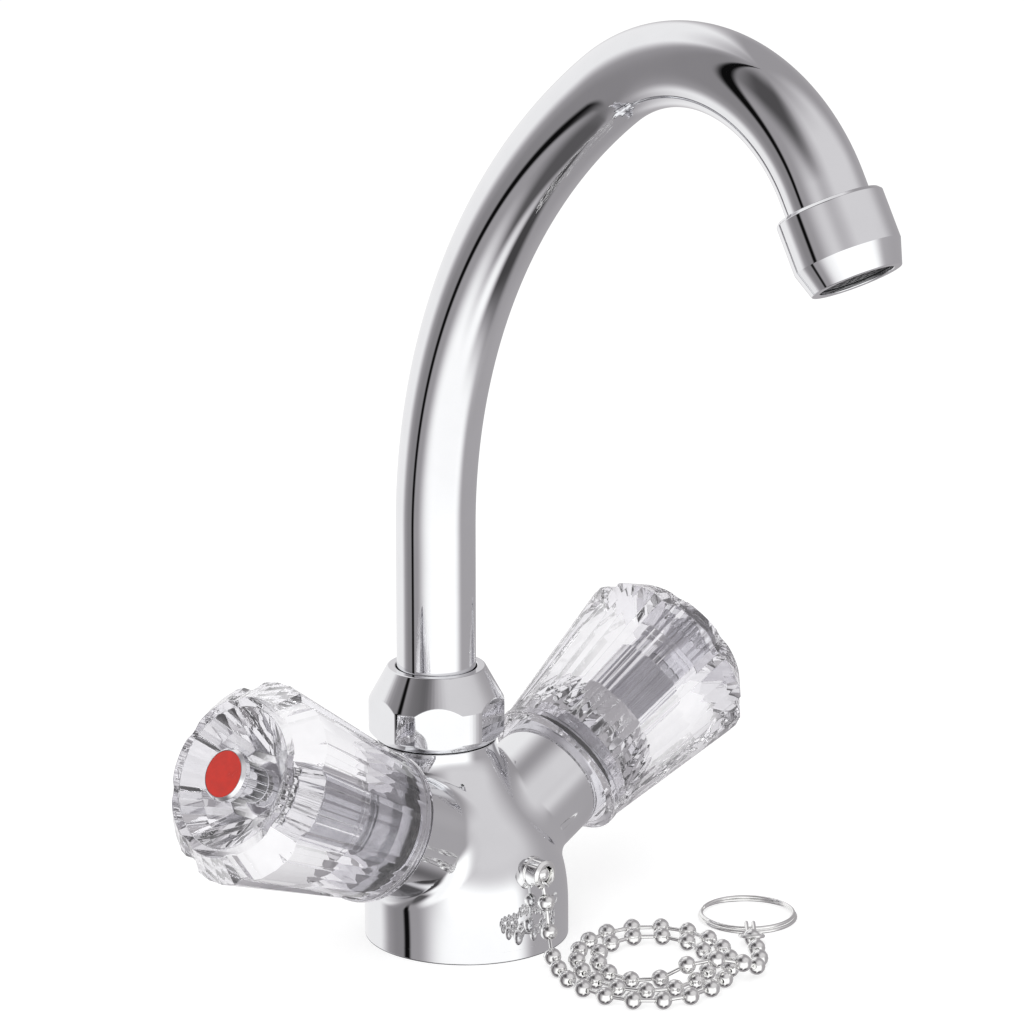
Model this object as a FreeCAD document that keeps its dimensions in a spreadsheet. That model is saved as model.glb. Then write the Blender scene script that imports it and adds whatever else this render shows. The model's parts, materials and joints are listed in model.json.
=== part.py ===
"""Basin mixer tap with a swivelling swan-neck spout, two screw-down valves, and a plug chain.

Millimetres, +Z up. The origin is the centre of the round base, on the deck that the tap stands on.
The spout points towards -Y, the hot valve leans out towards -X and the cold one towards +X.
The pieces of a valve are drawn upright, with Z as the distance outwards along its arm.
"""

import FreeCAD, Part
import math
import os
import re

import Sketcher
from FreeCAD import Placement, Rotation, Vector

# Driving dimensions
SIZES = {
    "fit": 0.05,
    "slack": 0.1,
    # Cast body: round base, neck set back so that both share the rear line
    "base_radius": 25.8,
    "skirt_height": 3.0,
    "flare_top": 48.5,
    "flare_lag": 1.7,
    "neck_height": 49.0,
    "neck_shoulder": 1.9,
    "recess_radius": 19.5,
    "recess_depth": 8.0,
    "gasket_margin": 1.8,
    "gasket_width": 3.0,
    "gasket_thickness": 1.5,
    "inlet_offset": 9.0,
    "inlet_thread_radius": 4.5,
    "inlet_thread_length": 10.0,
    "inlet_bore_radius": 3.75,
    "inlet_bore_length": 5.0,
    "stud_offset": 11.5,
    "stud_thread_radius": 3.4,
    "stud_thread_length": 10.0,
    # Valve arms
    "arm_angle": 27.1,
    "arm_height": 18.9,
    "arm_radius": 15.2,
    "arm_length": 38.0,
    "chamber_radius": 10.4,
    "seat_distance": 18.0,
    "seat_bore_radius": 4.5,
    "seat_bore_length": 9.0,
    "passage_radius": 2.8,
    "passage_side": 7.0,
    "passage_rise": 4.0,
    # Spout socket and union nut
    "stub_length": 10.0,
    "stub_wall": 1.5,
    "collar_wall": 1.7,
    "socket_floor": 37.0,
    "sump_radius": 7.5,
    "sump_depth": 6.5,
    "nut_gap": 0.2,
    "nut_wall": 4.0,
    "nut_flat_depth": 1.1,
    "nut_turn": 47.8,
    "nut_chamfer": 2.2,
    "nut_hex_height": 10.0,
    "nut_roof": 4.8,
    "nut_top_width": 2.4,
    "washer_thickness": 1.0,
    "flange_thickness": 2.0,
    # Spout
    "tube_radius": 10.0,
    "tube_wall": 1.0,
    "tube_inset": 1.5,
    "collar_gap": 1.0,
    "tube_straight": 103.9,
    "sweep_radius": 146.6,
    "sweep_angle": 53.7,
    "crook_radius": 45.0,
    "crook_angle": 97.3,
    "tip_length": 4.4,
    "tip_engagement": 9.0,
    "oring_radius": 0.6,
    "oring_inset": 4.0,
    "oring_spacing": 6.0,
    # Aerator, measured from the top of its housing along the outlet
    "ferrule_wall": 1.0,
    "aerator_wall": 1.75,
    "aerator_cone_length": 6.0,
    "aerator_cone_depth": 1.9,
    "aerator_top_chamfer": 0.8,
    "aerator_washer_width": 4.0,
    "aerator_washer_thickness": 1.9,
    "mouth_wall": 1.45,
    "lip_width": 0.5,
    "lip_thickness": 1.05,
    "insert_wall": 1.0,
    "insert_length": 6.4,
    "insert_floor": 1.2,
    "insert_hole_radius": 0.7,
    "insert_hole_spacing": 2.1,
    # Headwork, measured outwards along the arm
    "seal_thickness": 1.0,
    "bonnet_clearance": 6.0,
    "bonnet_across_flats": 22.0,
    "bonnet_hex_height": 5.5,
    "gland_radius": 7.5,
    "gland_length": 7.5,
    "guide_wall": 2.8,
    "boss_radius": 5.5,
    "boss_length": 5.5,
    "stem_radius": 4.5,
    "spline_radius": 4.0,
    "spline_length": 10.0,
    "stem_oring_inset": 4.0,
    "stem_oring_spacing": 4.5,
    "circlip_width": 0.8,
    "circlip_radius": 6.4,
    "valve_lift": 3.8,
    "jumper_radius": 7.0,
    "jumper_plate": 2.0,
    "jumper_stem_radius": 3.0,
    "jumper_stem_length": 9.8,
    "jumper_washer_radius": 6.6,
    "jumper_washer_thickness": 3.0,
    "washer_screw_radius": 1.5,
    "washer_screw_head": 2.8,
    # Knob, measured outwards along the arm
    "knob_overlap": 2.4,
    "knob_rim_band": 2.6,
    "knob_rim_wall": 2.5,
    "knob_wide_radius": 25.3,
    "knob_face_radius": 20.5,
    "knob_bevel": 6.0,
    "knob_land_angle": 27.0,
    "knob_flute_depth": 2.4,
    "knob_face_flute": 0.9,
    "knob_mouth_gap": 1.6,
    "knob_mouth_depth": 6.5,
    "knob_shoulder_gap": 5.0,
    "knob_shoulder_radius": 9.5,
    "bush_radius": 6.5,
    "bush_length": 16.0,
    "bush_cover": 1.0,
    "knob_web": 7.0,
    "face_recess": 8.0,
    "recess_floor_radius": 8.5,
    "recess_face_radius": 17.5,
    "knob_screw_radius": 2.4,
    "knob_screw_head": 4.0,
    "knob_screw_head_height": 3.0,
    "cap_stem_radius": 4.4,
    "cap_radius": 6.6,
    "cap_thickness": 2.6,
    "cap_stand": 3.4,
    "disc_radius": 5.75,
    "disc_thickness": 0.5,
    # Plug chain
    "eyelet_height": 21.6,
    "eyelet_sink": 0.3776,
    "eyelet_wall": 1.45,
    "eyelet_floor": 1.2,
    "eyelet_slot": 1.8,
    "eyelet_shank_radius": 2.0,
    "eyelet_shank_length": 7.0,
    "bead_radius": 2.25,
    "bead_pitch": 7.4,
    "link_radius": 0.6,
    "link_gap": 0.02,
    "coil_x": 11.9,
    "coil_y": -52.2,
    "coil_turn": -45.0,
    "coil_radius": 23.0,
    "coil_pitch": 5.2,
    "coil_stretch": 1.28,
    "ring_radius": 12.0,
    "ring_wire_radius": 0.9,
    "clip_wire_radius": 0.5,
    "clip_reach": 9.0,
    "clip_gap": 1.8,
}

# Radii that follow from the tube, from the inside out
SOCKET_RADIUS = "(tube_radius + collar_wall)"
STUB_RADIUS = "(tube_radius + collar_wall + stub_wall)"
NECK_RADIUS = f"({STUB_RADIUS} + neck_shoulder)"
FLANGE_RADIUS = f"({STUB_RADIUS} - 4*slack)"
NUT_RADIUS = f"({STUB_RADIUS} + nut_wall)"
FERRULE_RADIUS = "(tube_radius + ferrule_wall)"
AERATOR_RADIUS = f"({FERRULE_RADIUS} + aerator_wall)"
MOUTH_RADIUS = f"({AERATOR_RADIUS} - aerator_cone_depth)"
INSERT_RADIUS = f"({MOUTH_RADIUS} - mouth_wall)"
SETBACK = f"(base_radius - {NECK_RADIUS})"

# Heights on the neck
STUB_TOP = "(neck_height + stub_length)"
FLANGE_FOOT = f"({STUB_TOP} + washer_thickness + slack)"
SLIP_FOOT = f"({FLANGE_FOOT} + flange_thickness + slack)"
NUT_SHOULDER = f"({SLIP_FOOT} + washer_thickness)"
NUT_TOP = f"({NUT_SHOULDER} + nut_roof)"
COLLAR_FOOT = "(socket_floor + collar_gap)"
TUBE_FOOT = f"({COLLAR_FOOT} + tube_inset)"

# Stations along an arm
WASHER_LOW = "(seat_distance + fit)"
PLATE_LOW = f"({WASHER_LOW} + jumper_washer_thickness)"
PLATE_TOP = f"({PLATE_LOW} + jumper_plate)"
BONNET_FOOT = "(seat_distance + bonnet_clearance)"
GUIDE_TOP = f"({PLATE_TOP} + valve_lift + 3*slack)"
BOSS_LOW = f"({GUIDE_TOP} + slack)"
BOSS_TOP = f"({BOSS_LOW} + boss_length)"
SPINDLE_BORE_END = f"({PLATE_TOP} + jumper_stem_length + valve_lift + 5*slack)"
HEX_LOW = "(arm_length + seal_thickness)"
HEX_TOP = f"({HEX_LOW} + bonnet_hex_height)"
GLAND_END = f"({HEX_TOP} + gland_length)"
CIRCLIP_LOW = f"({GLAND_END} + slack)"
KNOB_RIM = "(arm_length - knob_overlap)"
KNOB_SHOULDER = f"({GLAND_END} + knob_shoulder_gap)"
BUSH_END = f"({KNOB_SHOULDER} + bush_length)"
SPINDLE_END = f"({BUSH_END} - bush_cover)"
RECESS_FLOOR = f"({BUSH_END} + knob_web)"
KNOB_FACE = f"({RECESS_FLOOR} + face_recess)"
CAP_FACE = f"({KNOB_FACE} + cap_stand)"



def flare_ease(share):
    """Share of the setback taken up at a share of the flare's height: 3u^2 - 2u^3, where u = share^lag."""
    late = f"(({share})^flare_lag)"
    return f"({late}^2*(3 - 2*{late}))"


# The eyelet's seat, sunk in the flare's front
EYELET_EASE = flare_ease("(eyelet_height - skirt_height)/(flare_top - skirt_height)")
EYELET_SEAT = f"(base_radius - 2*{SETBACK}*{EYELET_EASE} - eyelet_sink)"

KNOB_LOBES = 8
FLARE_SECTIONS = 7
COIL_TURNS = 2.25
COIL_STEPS = 12

# Plug chain, with the coil's centre as the origin of the tail: right, away and up
LEAD = [(0.0, -28.4, 15.4), (-0.4, -29.4, 8.2), (-1.6, -31.9, 3.6)]
TAIL = [
    (5.0, -14.5, 3.9),
    (10.5, -14.0, 7.4),
    (16.0, -13.5, 7.7),
    (20.6, -12.7, 7.2),
    (24.7, -9.8, 4.6),
    (27.0, -4.8, 2.5),
    (27.8, 1.6, 2.25),
    (27.4, 9.0, 2.25),
    (26.5, 16.5, 2.25),
]

doc = FreeCAD.newDocument("BasinMixerTap")
sheet = doc.addObject("Spreadsheet::Sheet", "Sizes")
for row, (alias, number) in enumerate(SIZES.items(), start=1):
    sheet.set(f"A{row}", alias)
    sheet.set(f"B{row}", str(number))
    sheet.setAlias(f"B{row}", alias)
doc.recompute()

nodes = []


def bound(text):
    """The expression with each word turned into its cell of the sheet."""
    return re.sub(r"\b(?!tan\b|cos\b|sin\b)[a-z]\w+", r"Sizes.\g<0>", text)


def value(text):
    """The number that an expression of sheet words comes to."""
    return float(sheet.evalExpression(bound(text)))


def bind(obj, **properties):
    """Tie properties of an object to expressions of the sheet."""
    for name, text in properties.items():
        obj.setExpression(name.replace("__", "."), bound(text))
    return obj


def primitive(kind, name, position=(0, 0, 0), rotation=None, **properties):
    """A Part primitive with its sizes bound to the sheet."""
    obj = bind(doc.addObject(f"Part::{kind}", name), **properties)
    obj.Placement = Placement(Vector(*position), rotation or Rotation())
    return obj


def combined(kind, name, first, *others):
    """A boolean of two or more objects."""
    obj = doc.addObject(f"Part::{kind}", name)
    if kind == "MultiFuse":
        obj.Shapes = [first, *others]
    else:
        obj.Base = first
        obj.Tool = others[0] if len(others) == 1 else combined("MultiFuse", f"{name}_tools", *others)
    return obj


def node(obj, name):
    """Keep an object as a sub-part under its own name."""
    obj.Label = name
    nodes.append(obj)
    return obj


def body_sketch(body, role, name):
    """A sketch on one of the body's own origin planes."""
    plane = next(item for item in body.Origin.OriginFeatures if item.Role == role)
    sketch = body.newObject("Sketcher::SketchObject", name)
    sketch.AttachmentSupport = [(plane, "")]
    sketch.MapMode = "FlatFace"
    return sketch


def lock(sketch, kind, axis, point, text):
    """Hold a sketch point at a distance from the origin, or on the axis where that is zero."""
    if text == "0":
        sketch.addConstraint(Sketcher.Constraint("PointOnObject", *point, axis))
        return
    index = sketch.addConstraint(Sketcher.Constraint(kind, -1, 1, *point, value(text)))
    sketch.setExpression(f"Constraints[{index}]", bound(text))


def turned(name, outline, angle=360):
    """A body turned about Z from an outline of (radius, height) expressions."""
    body = doc.addObject("PartDesign::Body", name)
    sketch = body_sketch(body, "XZ_Plane", f"{name}_outline")
    corners = [Vector(value(radius), value(height), 0) for radius, height in outline]
    for start, end in zip(corners, corners[1:] + corners[:1]):
        sketch.addGeometry(Part.LineSegment(start, end), False)
    for index, (radius, height) in enumerate(outline):
        sketch.addConstraint(Sketcher.Constraint("Coincident", index, 1, (index - 1) % len(outline), 2))
        lock(sketch, "DistanceX", -2, (index, 1), radius)
        lock(sketch, "DistanceY", -1, (index, 1), height)
    revolution = body.newObject("PartDesign::Revolution", f"{name}_turning")
    revolution.Profile = sketch
    revolution.ReferenceAxis = (sketch, ["V_Axis"])
    revolution.Angle = angle
    sketch.Visibility = False
    return body


def ring_outline(inner, outer, low, high):
    """The outline of a plain ring or sleeve."""
    return [(inner, low), (outer, low), (outer, high), (inner, high)]


def on_arm(obj, side):
    """Stand an upright valve piece on its arm."""
    obj.Placement = Placement(Vector(), Rotation(Vector(0, 1, 0), 1))
    bind(obj, Placement__Base__z="arm_height", Placement__Rotation__Angle=f"{side}*(90 - arm_angle)")
    return obj


def on_neck(obj):
    """Stand a piece on the neck's axis."""
    return bind(obj, Placement__Base__y=SETBACK)


def arm_point(side, out, rise, back):
    """A point given along, above and behind the arm's axis."""
    angle = math.radians(value("arm_angle"))
    return Vector(
        side * (out * math.cos(angle) - rise * math.sin(angle)),
        back,
        value("arm_height") + out * math.sin(angle) + rise * math.cos(angle),
    )


def bore_between(name, start, end, radius):
    """A round bore from one point to another."""
    run = end - start
    turn = Rotation(Vector(0, 0, 1), run)
    obj = primitive("Cylinder", name, start, turn, Radius=radius)
    obj.Height = run.Length
    return obj


SIDES = (("hot", -1), ("cold", 1))
neck_y = value(SETBACK)


# Cast body
def flare():
    """The smooth shoulder from the round base to the neck, both touching the same rear line."""
    body = doc.addObject("PartDesign::Body", "flare")
    sections = []
    for index in range(FLARE_SECTIONS + 1):
        share = index / FLARE_SECTIONS
        ease = flare_ease(share)
        sketch = body_sketch(body, "XY_Plane", f"flare_section_{index}")
        bind(sketch, AttachmentOffset__Base__z=f"skirt_height + (flare_top - skirt_height)*{share}")
        radius = f"base_radius - {SETBACK}*{ease}"
        setback = f"{SETBACK}*{ease}" if index else "0"
        centre = Vector(0, value(setback), 0)
        sketch.addGeometry(Part.Circle(centre, Vector(0, 0, 1), value(radius)), False)
        size = sketch.addConstraint(Sketcher.Constraint("Radius", 0, value(radius)))
        sketch.setExpression(f"Constraints[{size}]", bound(radius))
        lock(sketch, "DistanceX", -2, (0, 3), "0")
        lock(sketch, "DistanceY", -1, (0, 3), setback)
        sections.append(sketch)
    loft = body.newObject("PartDesign::AdditiveLoft", "flare_loft")
    loft.Profile = sections[0]
    loft.Sections = sections[1:]
    return body


def tap_body():
    """Base, neck and both arms in one casting, with its waterways, seats and threads."""
    skirt = primitive("Cylinder", "skirt", Radius="base_radius", Height="skirt_height")
    neck = on_neck(primitive("Cylinder", "neck", Radius=NECK_RADIUS, Height="neck_height - flare_top"))
    bind(neck, Placement__Base__z="flare_top")
    stub = on_neck(primitive("Cylinder", "stub", Radius=STUB_RADIUS, Height="stub_length"))
    bind(stub, Placement__Base__z="neck_height")
    solids = [skirt, flare(), neck, stub]
    for name, side in SIDES:
        arm = primitive("Cylinder", f"{name}_arm", Radius="arm_radius", Height="arm_length")
        solids.append(on_arm(arm, side))

    cuts = [primitive("Cylinder", "underside", Radius="recess_radius", Height="recess_depth")]
    cuts.append(turned("gasket_groove", gasket_outline("0")))
    socket = [
        ("0", "socket_floor - sump_depth"),
        ("sump_radius", "socket_floor - sump_depth"),
        ("sump_radius", "socket_floor"),
        (SOCKET_RADIUS, "socket_floor"),
        (SOCKET_RADIUS, STUB_TOP),
        ("0", STUB_TOP),
    ]
    cuts.append(on_neck(turned("spout_socket", socket)))
    stud = primitive("Cylinder", "stud_hole", Radius="stud_thread_radius", Height="stud_thread_length")
    cuts.append(bind(stud, Placement__Base__y="-stud_offset", Placement__Base__z="recess_depth"))
    anchor = primitive(
        "Cylinder",
        "eyelet_hole",
        rotation=Rotation(Vector(1, 0, 0), -90),
        Radius="eyelet_shank_radius + fit",
        Height="eyelet_shank_length + fit",
    )
    cuts.append(bind(anchor, Placement__Base__y=f"-{EYELET_SEAT}", Placement__Base__z="eyelet_height"))
    spot = primitive(
        "Cylinder",
        "eyelet_spot_face",
        rotation=Rotation(Vector(1, 0, 0), 90),
        Radius="bead_radius + eyelet_wall + 2*slack",
        Height="base_radius",
    )
    cuts.append(bind(spot, Placement__Base__y=f"-{EYELET_SEAT}", Placement__Base__z="eyelet_height"))
    for name, side in SIDES:
        inlet = [
            ("0", "recess_depth"),
            ("inlet_thread_radius", "recess_depth"),
            ("inlet_thread_radius", "recess_depth + inlet_thread_length"),
            ("inlet_bore_radius", "recess_depth + inlet_thread_length"),
            ("inlet_bore_radius", "recess_depth + inlet_thread_length + inlet_bore_length"),
            ("0", "recess_depth + inlet_thread_length + inlet_bore_length"),
        ]
        cuts.append(bind(turned(f"{name}_inlet", inlet), Placement__Base__x=f"{side}*inlet_offset"))
        chamber = [
            ("0", "seat_distance - seat_bore_length"),
            ("seat_bore_radius", "seat_distance - seat_bore_length"),
            ("seat_bore_radius", "seat_distance"),
            ("chamber_radius", "seat_distance"),
            ("chamber_radius", "arm_length"),
            ("0", "arm_length"),
        ]
        cuts.append(on_arm(turned(f"{name}_chamber", chamber), side))
        mouth = arm_point(side, value("seat_distance + 1"), value("passage_rise"), value("passage_side"))
        sump = Vector(0, neck_y, value("socket_floor - sump_depth/2"))
        cuts.append(bore_between(f"{name}_passage", mouth, sump, "passage_radius"))
    casting = combined("MultiFuse", "casting", *solids)
    for number, cut in enumerate(cuts, start=1):
        casting = combined("Cut", f"casting_cut_{number}", casting, cut)
    return node(casting, "tap_body")


def gasket_outline(clearance):
    """The gasket's section, or its groove's where the clearance is nothing."""
    inner = "recess_radius + gasket_margin"
    return ring_outline(
        f"{inner} + {clearance}", f"{inner} + gasket_width - {clearance}", "0", "gasket_thickness"
    )


def base_gasket():
    """Rubber ring in the underside, flush with the deck."""
    return node(turned("gasket", gasket_outline("slack")), "base_gasket")


# Union nut and the rings that it holds
def hex_trimmed(name, blank, across_flats, top, turn="0"):
    """A turned blank with six flats milled on its widest part."""
    stock = primitive("Prism", f"{name}_hexagon", Circumradius=f"({across_flats})/2/cos(30)", Height=top)
    stock.Polygon = 6
    bind(stock, Placement__Rotation__Angle=turn)
    obj = doc.addObject("Part::Common", name)
    obj.Base = blank
    obj.Tool = stock
    return obj


def spout_nut():
    """Round nut with six flats, a long cone on top and a shoulder inside over the spout's flange."""
    low = "(neck_height + nut_gap)"
    outline = [
        (f"{STUB_RADIUS} + fit", low),
        (f"{NUT_RADIUS} - nut_chamfer", low),
        (NUT_RADIUS, f"{low} + nut_chamfer"),
        (NUT_RADIUS, f"{low} + nut_hex_height"),
        ("tube_radius + nut_top_width", NUT_TOP),
        ("tube_radius + 3*slack", NUT_TOP),
        ("tube_radius + 3*slack", NUT_SHOULDER),
        (f"{STUB_RADIUS} + fit", NUT_SHOULDER),
    ]
    blank = turned("nut_blank", outline)
    nut = hex_trimmed("nut", blank, f"2*({NUT_RADIUS} - nut_flat_depth)", NUT_TOP, "nut_turn")
    return node(on_neck(nut), "spout_nut")


def spout_rings():
    """Thrust washer under the spout's flange and slip ring above it."""
    washer = ring_outline(SOCKET_RADIUS, FLANGE_RADIUS, STUB_TOP, f"{STUB_TOP} + washer_thickness")
    node(on_neck(turned("thrust", washer)), "thrust_washer")
    slip = ring_outline("tube_radius + 3*slack", FLANGE_RADIUS, SLIP_FOOT, NUT_SHOULDER)
    node(on_neck(turned("slip", slip)), "slip_ring")


# Spout
def spout_path(low, extra):
    """The tube's centre line in the plane x = 0: straight, long sweep, crook, short straight tip."""
    straight = value("tube_straight")
    sweep = value("sweep_radius")
    crook = value("crook_radius")
    first = math.radians(value("sweep_angle"))
    last = first + math.radians(value("crook_angle"))
    centre = Vector(0, neck_y - sweep, straight)
    inner = centre + Vector(0, math.cos(first), math.sin(first)) * (sweep - crook)
    corner = inner + Vector(0, math.cos(first), math.sin(first)) * crook
    end = inner + Vector(0, math.cos(last), math.sin(last)) * crook
    out = Vector(0, -math.sin(last), math.cos(last))
    tip = end + out * (value("tip_length") + extra)
    half = first / 2
    middle = centre + Vector(0, math.cos(half), math.sin(half)) * sweep
    turn = (first + last) / 2
    crest = inner + Vector(0, math.cos(turn), math.sin(turn)) * crook
    foot = Vector(0, neck_y, low)
    start = Vector(0, neck_y, straight)
    edges = [
        Part.LineSegment(foot, start).toShape(),
        Part.Arc(start, middle, corner).toShape(),
        Part.Arc(corner, crest, end).toShape(),
        Part.LineSegment(end, tip).toShape(),
    ]
    return Part.Wire(edges), end + out * value("tip_length"), out


def spout_tube():
    """Bent brass tube, swept from its ring section along the centre line."""
    path, _, _ = spout_path(value(TUBE_FOOT), value("tip_engagement"))
    foot = Vector(0, neck_y, value(TUBE_FOOT))
    solids = []
    for radius in (value("tube_radius"), value("tube_radius - tube_wall")):
        section = Part.Wire([Part.makeCircle(radius, foot, Vector(0, 0, 1))])
        solids.append(path.makePipeShell([section], True, False))
    obj = doc.addObject("Part::Feature", "tube")
    obj.Shape = solids[0].cut(solids[1])
    return node(obj, "spout_tube")


def spout_foot():
    """Brass collar brazed round the tube's foot, with its flange and two O-rings."""
    outside = f"{SOCKET_RADIUS} - 2*fit"
    groove_floor = f"{SOCKET_RADIUS} - 2*oring_radius - 2*fit"
    outline = [("tube_radius + fit", COLLAR_FOOT), (outside, COLLAR_FOOT)]
    for count in range(2):
        outline += groove(f"{COLLAR_FOOT} + oring_inset + {count}*oring_spacing", outside, groove_floor)
    outline += [
        (outside, FLANGE_FOOT),
        (FLANGE_RADIUS, FLANGE_FOOT),
        (FLANGE_RADIUS, f"{FLANGE_FOOT} + flange_thickness"),
        ("tube_radius + fit", f"{FLANGE_FOOT} + flange_thickness"),
    ]
    node(on_neck(turned("collar", outline)), "spout_collar")
    rings = []
    for count in range(2):
        ring = primitive(
            "Torus",
            f"spout_oring_{count}",
            Radius1=f"{SOCKET_RADIUS} - fit - oring_radius",
            Radius2="oring_radius",
        )
        rings.append(bind(ring, Placement__Base__z=f"{COLLAR_FOOT} + oring_inset + {count}*oring_spacing"))
    node(on_neck(compound("spout_seals", rings)), "spout_o_rings")


def groove(middle, outside, floor):
    """The four corners of an O-ring groove in a turned outline."""
    half = "(oring_radius + slack)"
    return [
        (outside, f"{middle} - {half}"),
        (floor, f"{middle} - {half}"),
        (floor, f"{middle} + {half}"),
        (outside, f"{middle} + {half}"),
    ]


def compound(name, links):
    """Several separate solids kept together as one sub-part."""
    obj = doc.addObject("Part::Compound", name)
    obj.Links = links
    return obj


# Aerator
def at_outlet(obj):
    """Put a piece drawn along Z on the outlet's axis, starting at the housing's top."""
    _, top, out = spout_path(value(TUBE_FOOT), 0)
    obj.Placement = Placement(top, Rotation(Vector(0, 0, 1), out))
    return obj


def aerator():
    """Ferrule on the tube's tip, screwed housing, flat washer and the holed outlet insert."""
    ferrule = ring_outline("tube_radius + fit", FERRULE_RADIUS, "slack", "tip_engagement")
    node(at_outlet(turned("ferrule", ferrule)), "spout_ferrule")
    washer_top = "(tip_engagement + fit)"
    insert_top = f"({washer_top} + aerator_washer_thickness + fit)"
    insert_end = f"({insert_top} + insert_length)"
    housing_end = f"({insert_end} + fit + lip_thickness)"
    housing = [
        (f"{FERRULE_RADIUS} + fit", "0"),
        (f"{AERATOR_RADIUS} - aerator_top_chamfer", "0"),
        (AERATOR_RADIUS, "aerator_top_chamfer"),
        (AERATOR_RADIUS, f"{housing_end} - aerator_cone_length"),
        (MOUTH_RADIUS, housing_end),
        (f"{INSERT_RADIUS} - lip_width", housing_end),
        (f"{INSERT_RADIUS} - lip_width", f"{insert_end} + fit"),
        (f"{INSERT_RADIUS} + fit", f"{insert_end} + fit"),
        (f"{INSERT_RADIUS} + fit", insert_top),
        (f"{FERRULE_RADIUS} + fit", insert_top),
    ]
    node(at_outlet(turned("housing", housing)), "aerator_housing")
    washer = ring_outline(
        f"{FERRULE_RADIUS} - aerator_washer_width",
        FERRULE_RADIUS,
        washer_top,
        f"{washer_top} + aerator_washer_thickness",
    )
    node(at_outlet(turned("washer", washer)), "aerator_washer")
    cup = [
        ("0", f"{insert_end} - insert_floor"),
        (f"{INSERT_RADIUS} - insert_wall", f"{insert_end} - insert_floor"),
        (f"{INSERT_RADIUS} - insert_wall", insert_top),
        (INSERT_RADIUS, insert_top),
        (INSERT_RADIUS, insert_end),
        ("0", insert_end),
    ]
    holes = []
    for ring, count in enumerate((1, 6, 12, 18)):
        for index in range(count):
            angle = 2 * math.pi * index / count
            hole = primitive("Cylinder", f"spray_hole_{ring}_{index}", Radius="insert_hole_radius")
            bind(
                hole,
                Height="2*insert_floor",
                Placement__Base__x=f"{ring * math.cos(angle):.6f}*insert_hole_spacing",
                Placement__Base__y=f"{ring * math.sin(angle):.6f}*insert_hole_spacing",
                Placement__Base__z=f"{insert_end} - 3*insert_floor/2",
            )
            holes.append(hole)
    insert = combined("Cut", "insert", turned("insert_cup", cup), *holes)
    node(at_outlet(insert), "aerator_insert")


# Valve headworks
def bonnet(name, side):
    """Headwork body: thread, hexagon and gland, bored for the spindle and the jumper's guide."""
    outline = [
        ("chamber_radius - guide_wall", BONNET_FOOT),
        ("chamber_radius - fit", BONNET_FOOT),
        ("chamber_radius - fit", HEX_LOW),
        ("bonnet_across_flats/2/cos(30)", HEX_LOW),
        ("bonnet_across_flats/2/cos(30)", HEX_TOP),
        ("gland_radius", HEX_TOP),
        ("gland_radius", GLAND_END),
        ("stem_radius + fit", GLAND_END),
        ("stem_radius + fit", f"{BOSS_TOP} + slack"),
        ("boss_radius + fit", f"{BOSS_TOP} + slack"),
        ("boss_radius + fit", GUIDE_TOP),
        ("chamber_radius - guide_wall", GUIDE_TOP),
    ]
    blank = turned(f"{name}_bonnet_blank", outline)
    trimmed = hex_trimmed(f"{name}_bonnet_trimmed", blank, "bonnet_across_flats", GLAND_END)
    node(on_arm(trimmed, side), f"{name}_bonnet")
    seal = ring_outline("chamber_radius", "arm_radius - 2*slack", "arm_length", HEX_LOW)
    node(on_arm(turned(f"{name}_seal", seal), side), f"{name}_bonnet_seal")


def spindle(name, side):
    """Spindle that turns without rising, with its O-rings and the circlip that holds it in."""
    ring_low = f"{HEX_LOW} + stem_oring_inset"
    outline = [
        ("jumper_stem_radius + fit", BOSS_LOW),
        ("boss_radius", BOSS_LOW),
        ("boss_radius", BOSS_TOP),
        ("stem_radius", BOSS_TOP),
    ]
    for count in range(2):
        middle = f"{ring_low} + {count}*stem_oring_spacing"
        outline += groove(middle, "stem_radius", "stem_radius - 2*oring_radius")
    outline += [
        ("stem_radius", CIRCLIP_LOW),
        ("spline_radius - fit", CIRCLIP_LOW),
        ("spline_radius - fit", f"{CIRCLIP_LOW} + circlip_width + fit"),
        ("stem_radius", f"{CIRCLIP_LOW} + circlip_width + fit"),
        ("stem_radius", f"{SPINDLE_END} - spline_length"),
        ("spline_radius", f"{SPINDLE_END} - spline_length"),
        ("spline_radius", SPINDLE_END),
        ("knob_screw_radius + fit", SPINDLE_END),
        ("knob_screw_radius + fit", f"{SPINDLE_END} - spline_length"),
        ("0", f"{SPINDLE_END} - spline_length"),
        ("0", SPINDLE_BORE_END),
        ("jumper_stem_radius + fit", SPINDLE_BORE_END),
    ]
    node(on_arm(turned(f"{name}_stem", outline), side), f"{name}_spindle")
    rings = []
    for count in range(2):
        ring = primitive(
            "Torus",
            f"{name}_stem_oring_{count}",
            Radius1="stem_radius - oring_radius",
            Radius2="oring_radius - fit/2",
        )
        rings.append(bind(ring, Placement__Base__z=f"{ring_low} + {count}*stem_oring_spacing"))
    node(on_arm(compound(f"{name}_stem_seals", rings), side), f"{name}_spindle_o_rings")
    clip = ring_outline("spline_radius", "circlip_radius", CIRCLIP_LOW, f"{CIRCLIP_LOW} + circlip_width")
    node(on_arm(turned(f"{name}_clip", clip, angle=310), side), f"{name}_circlip")


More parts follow.
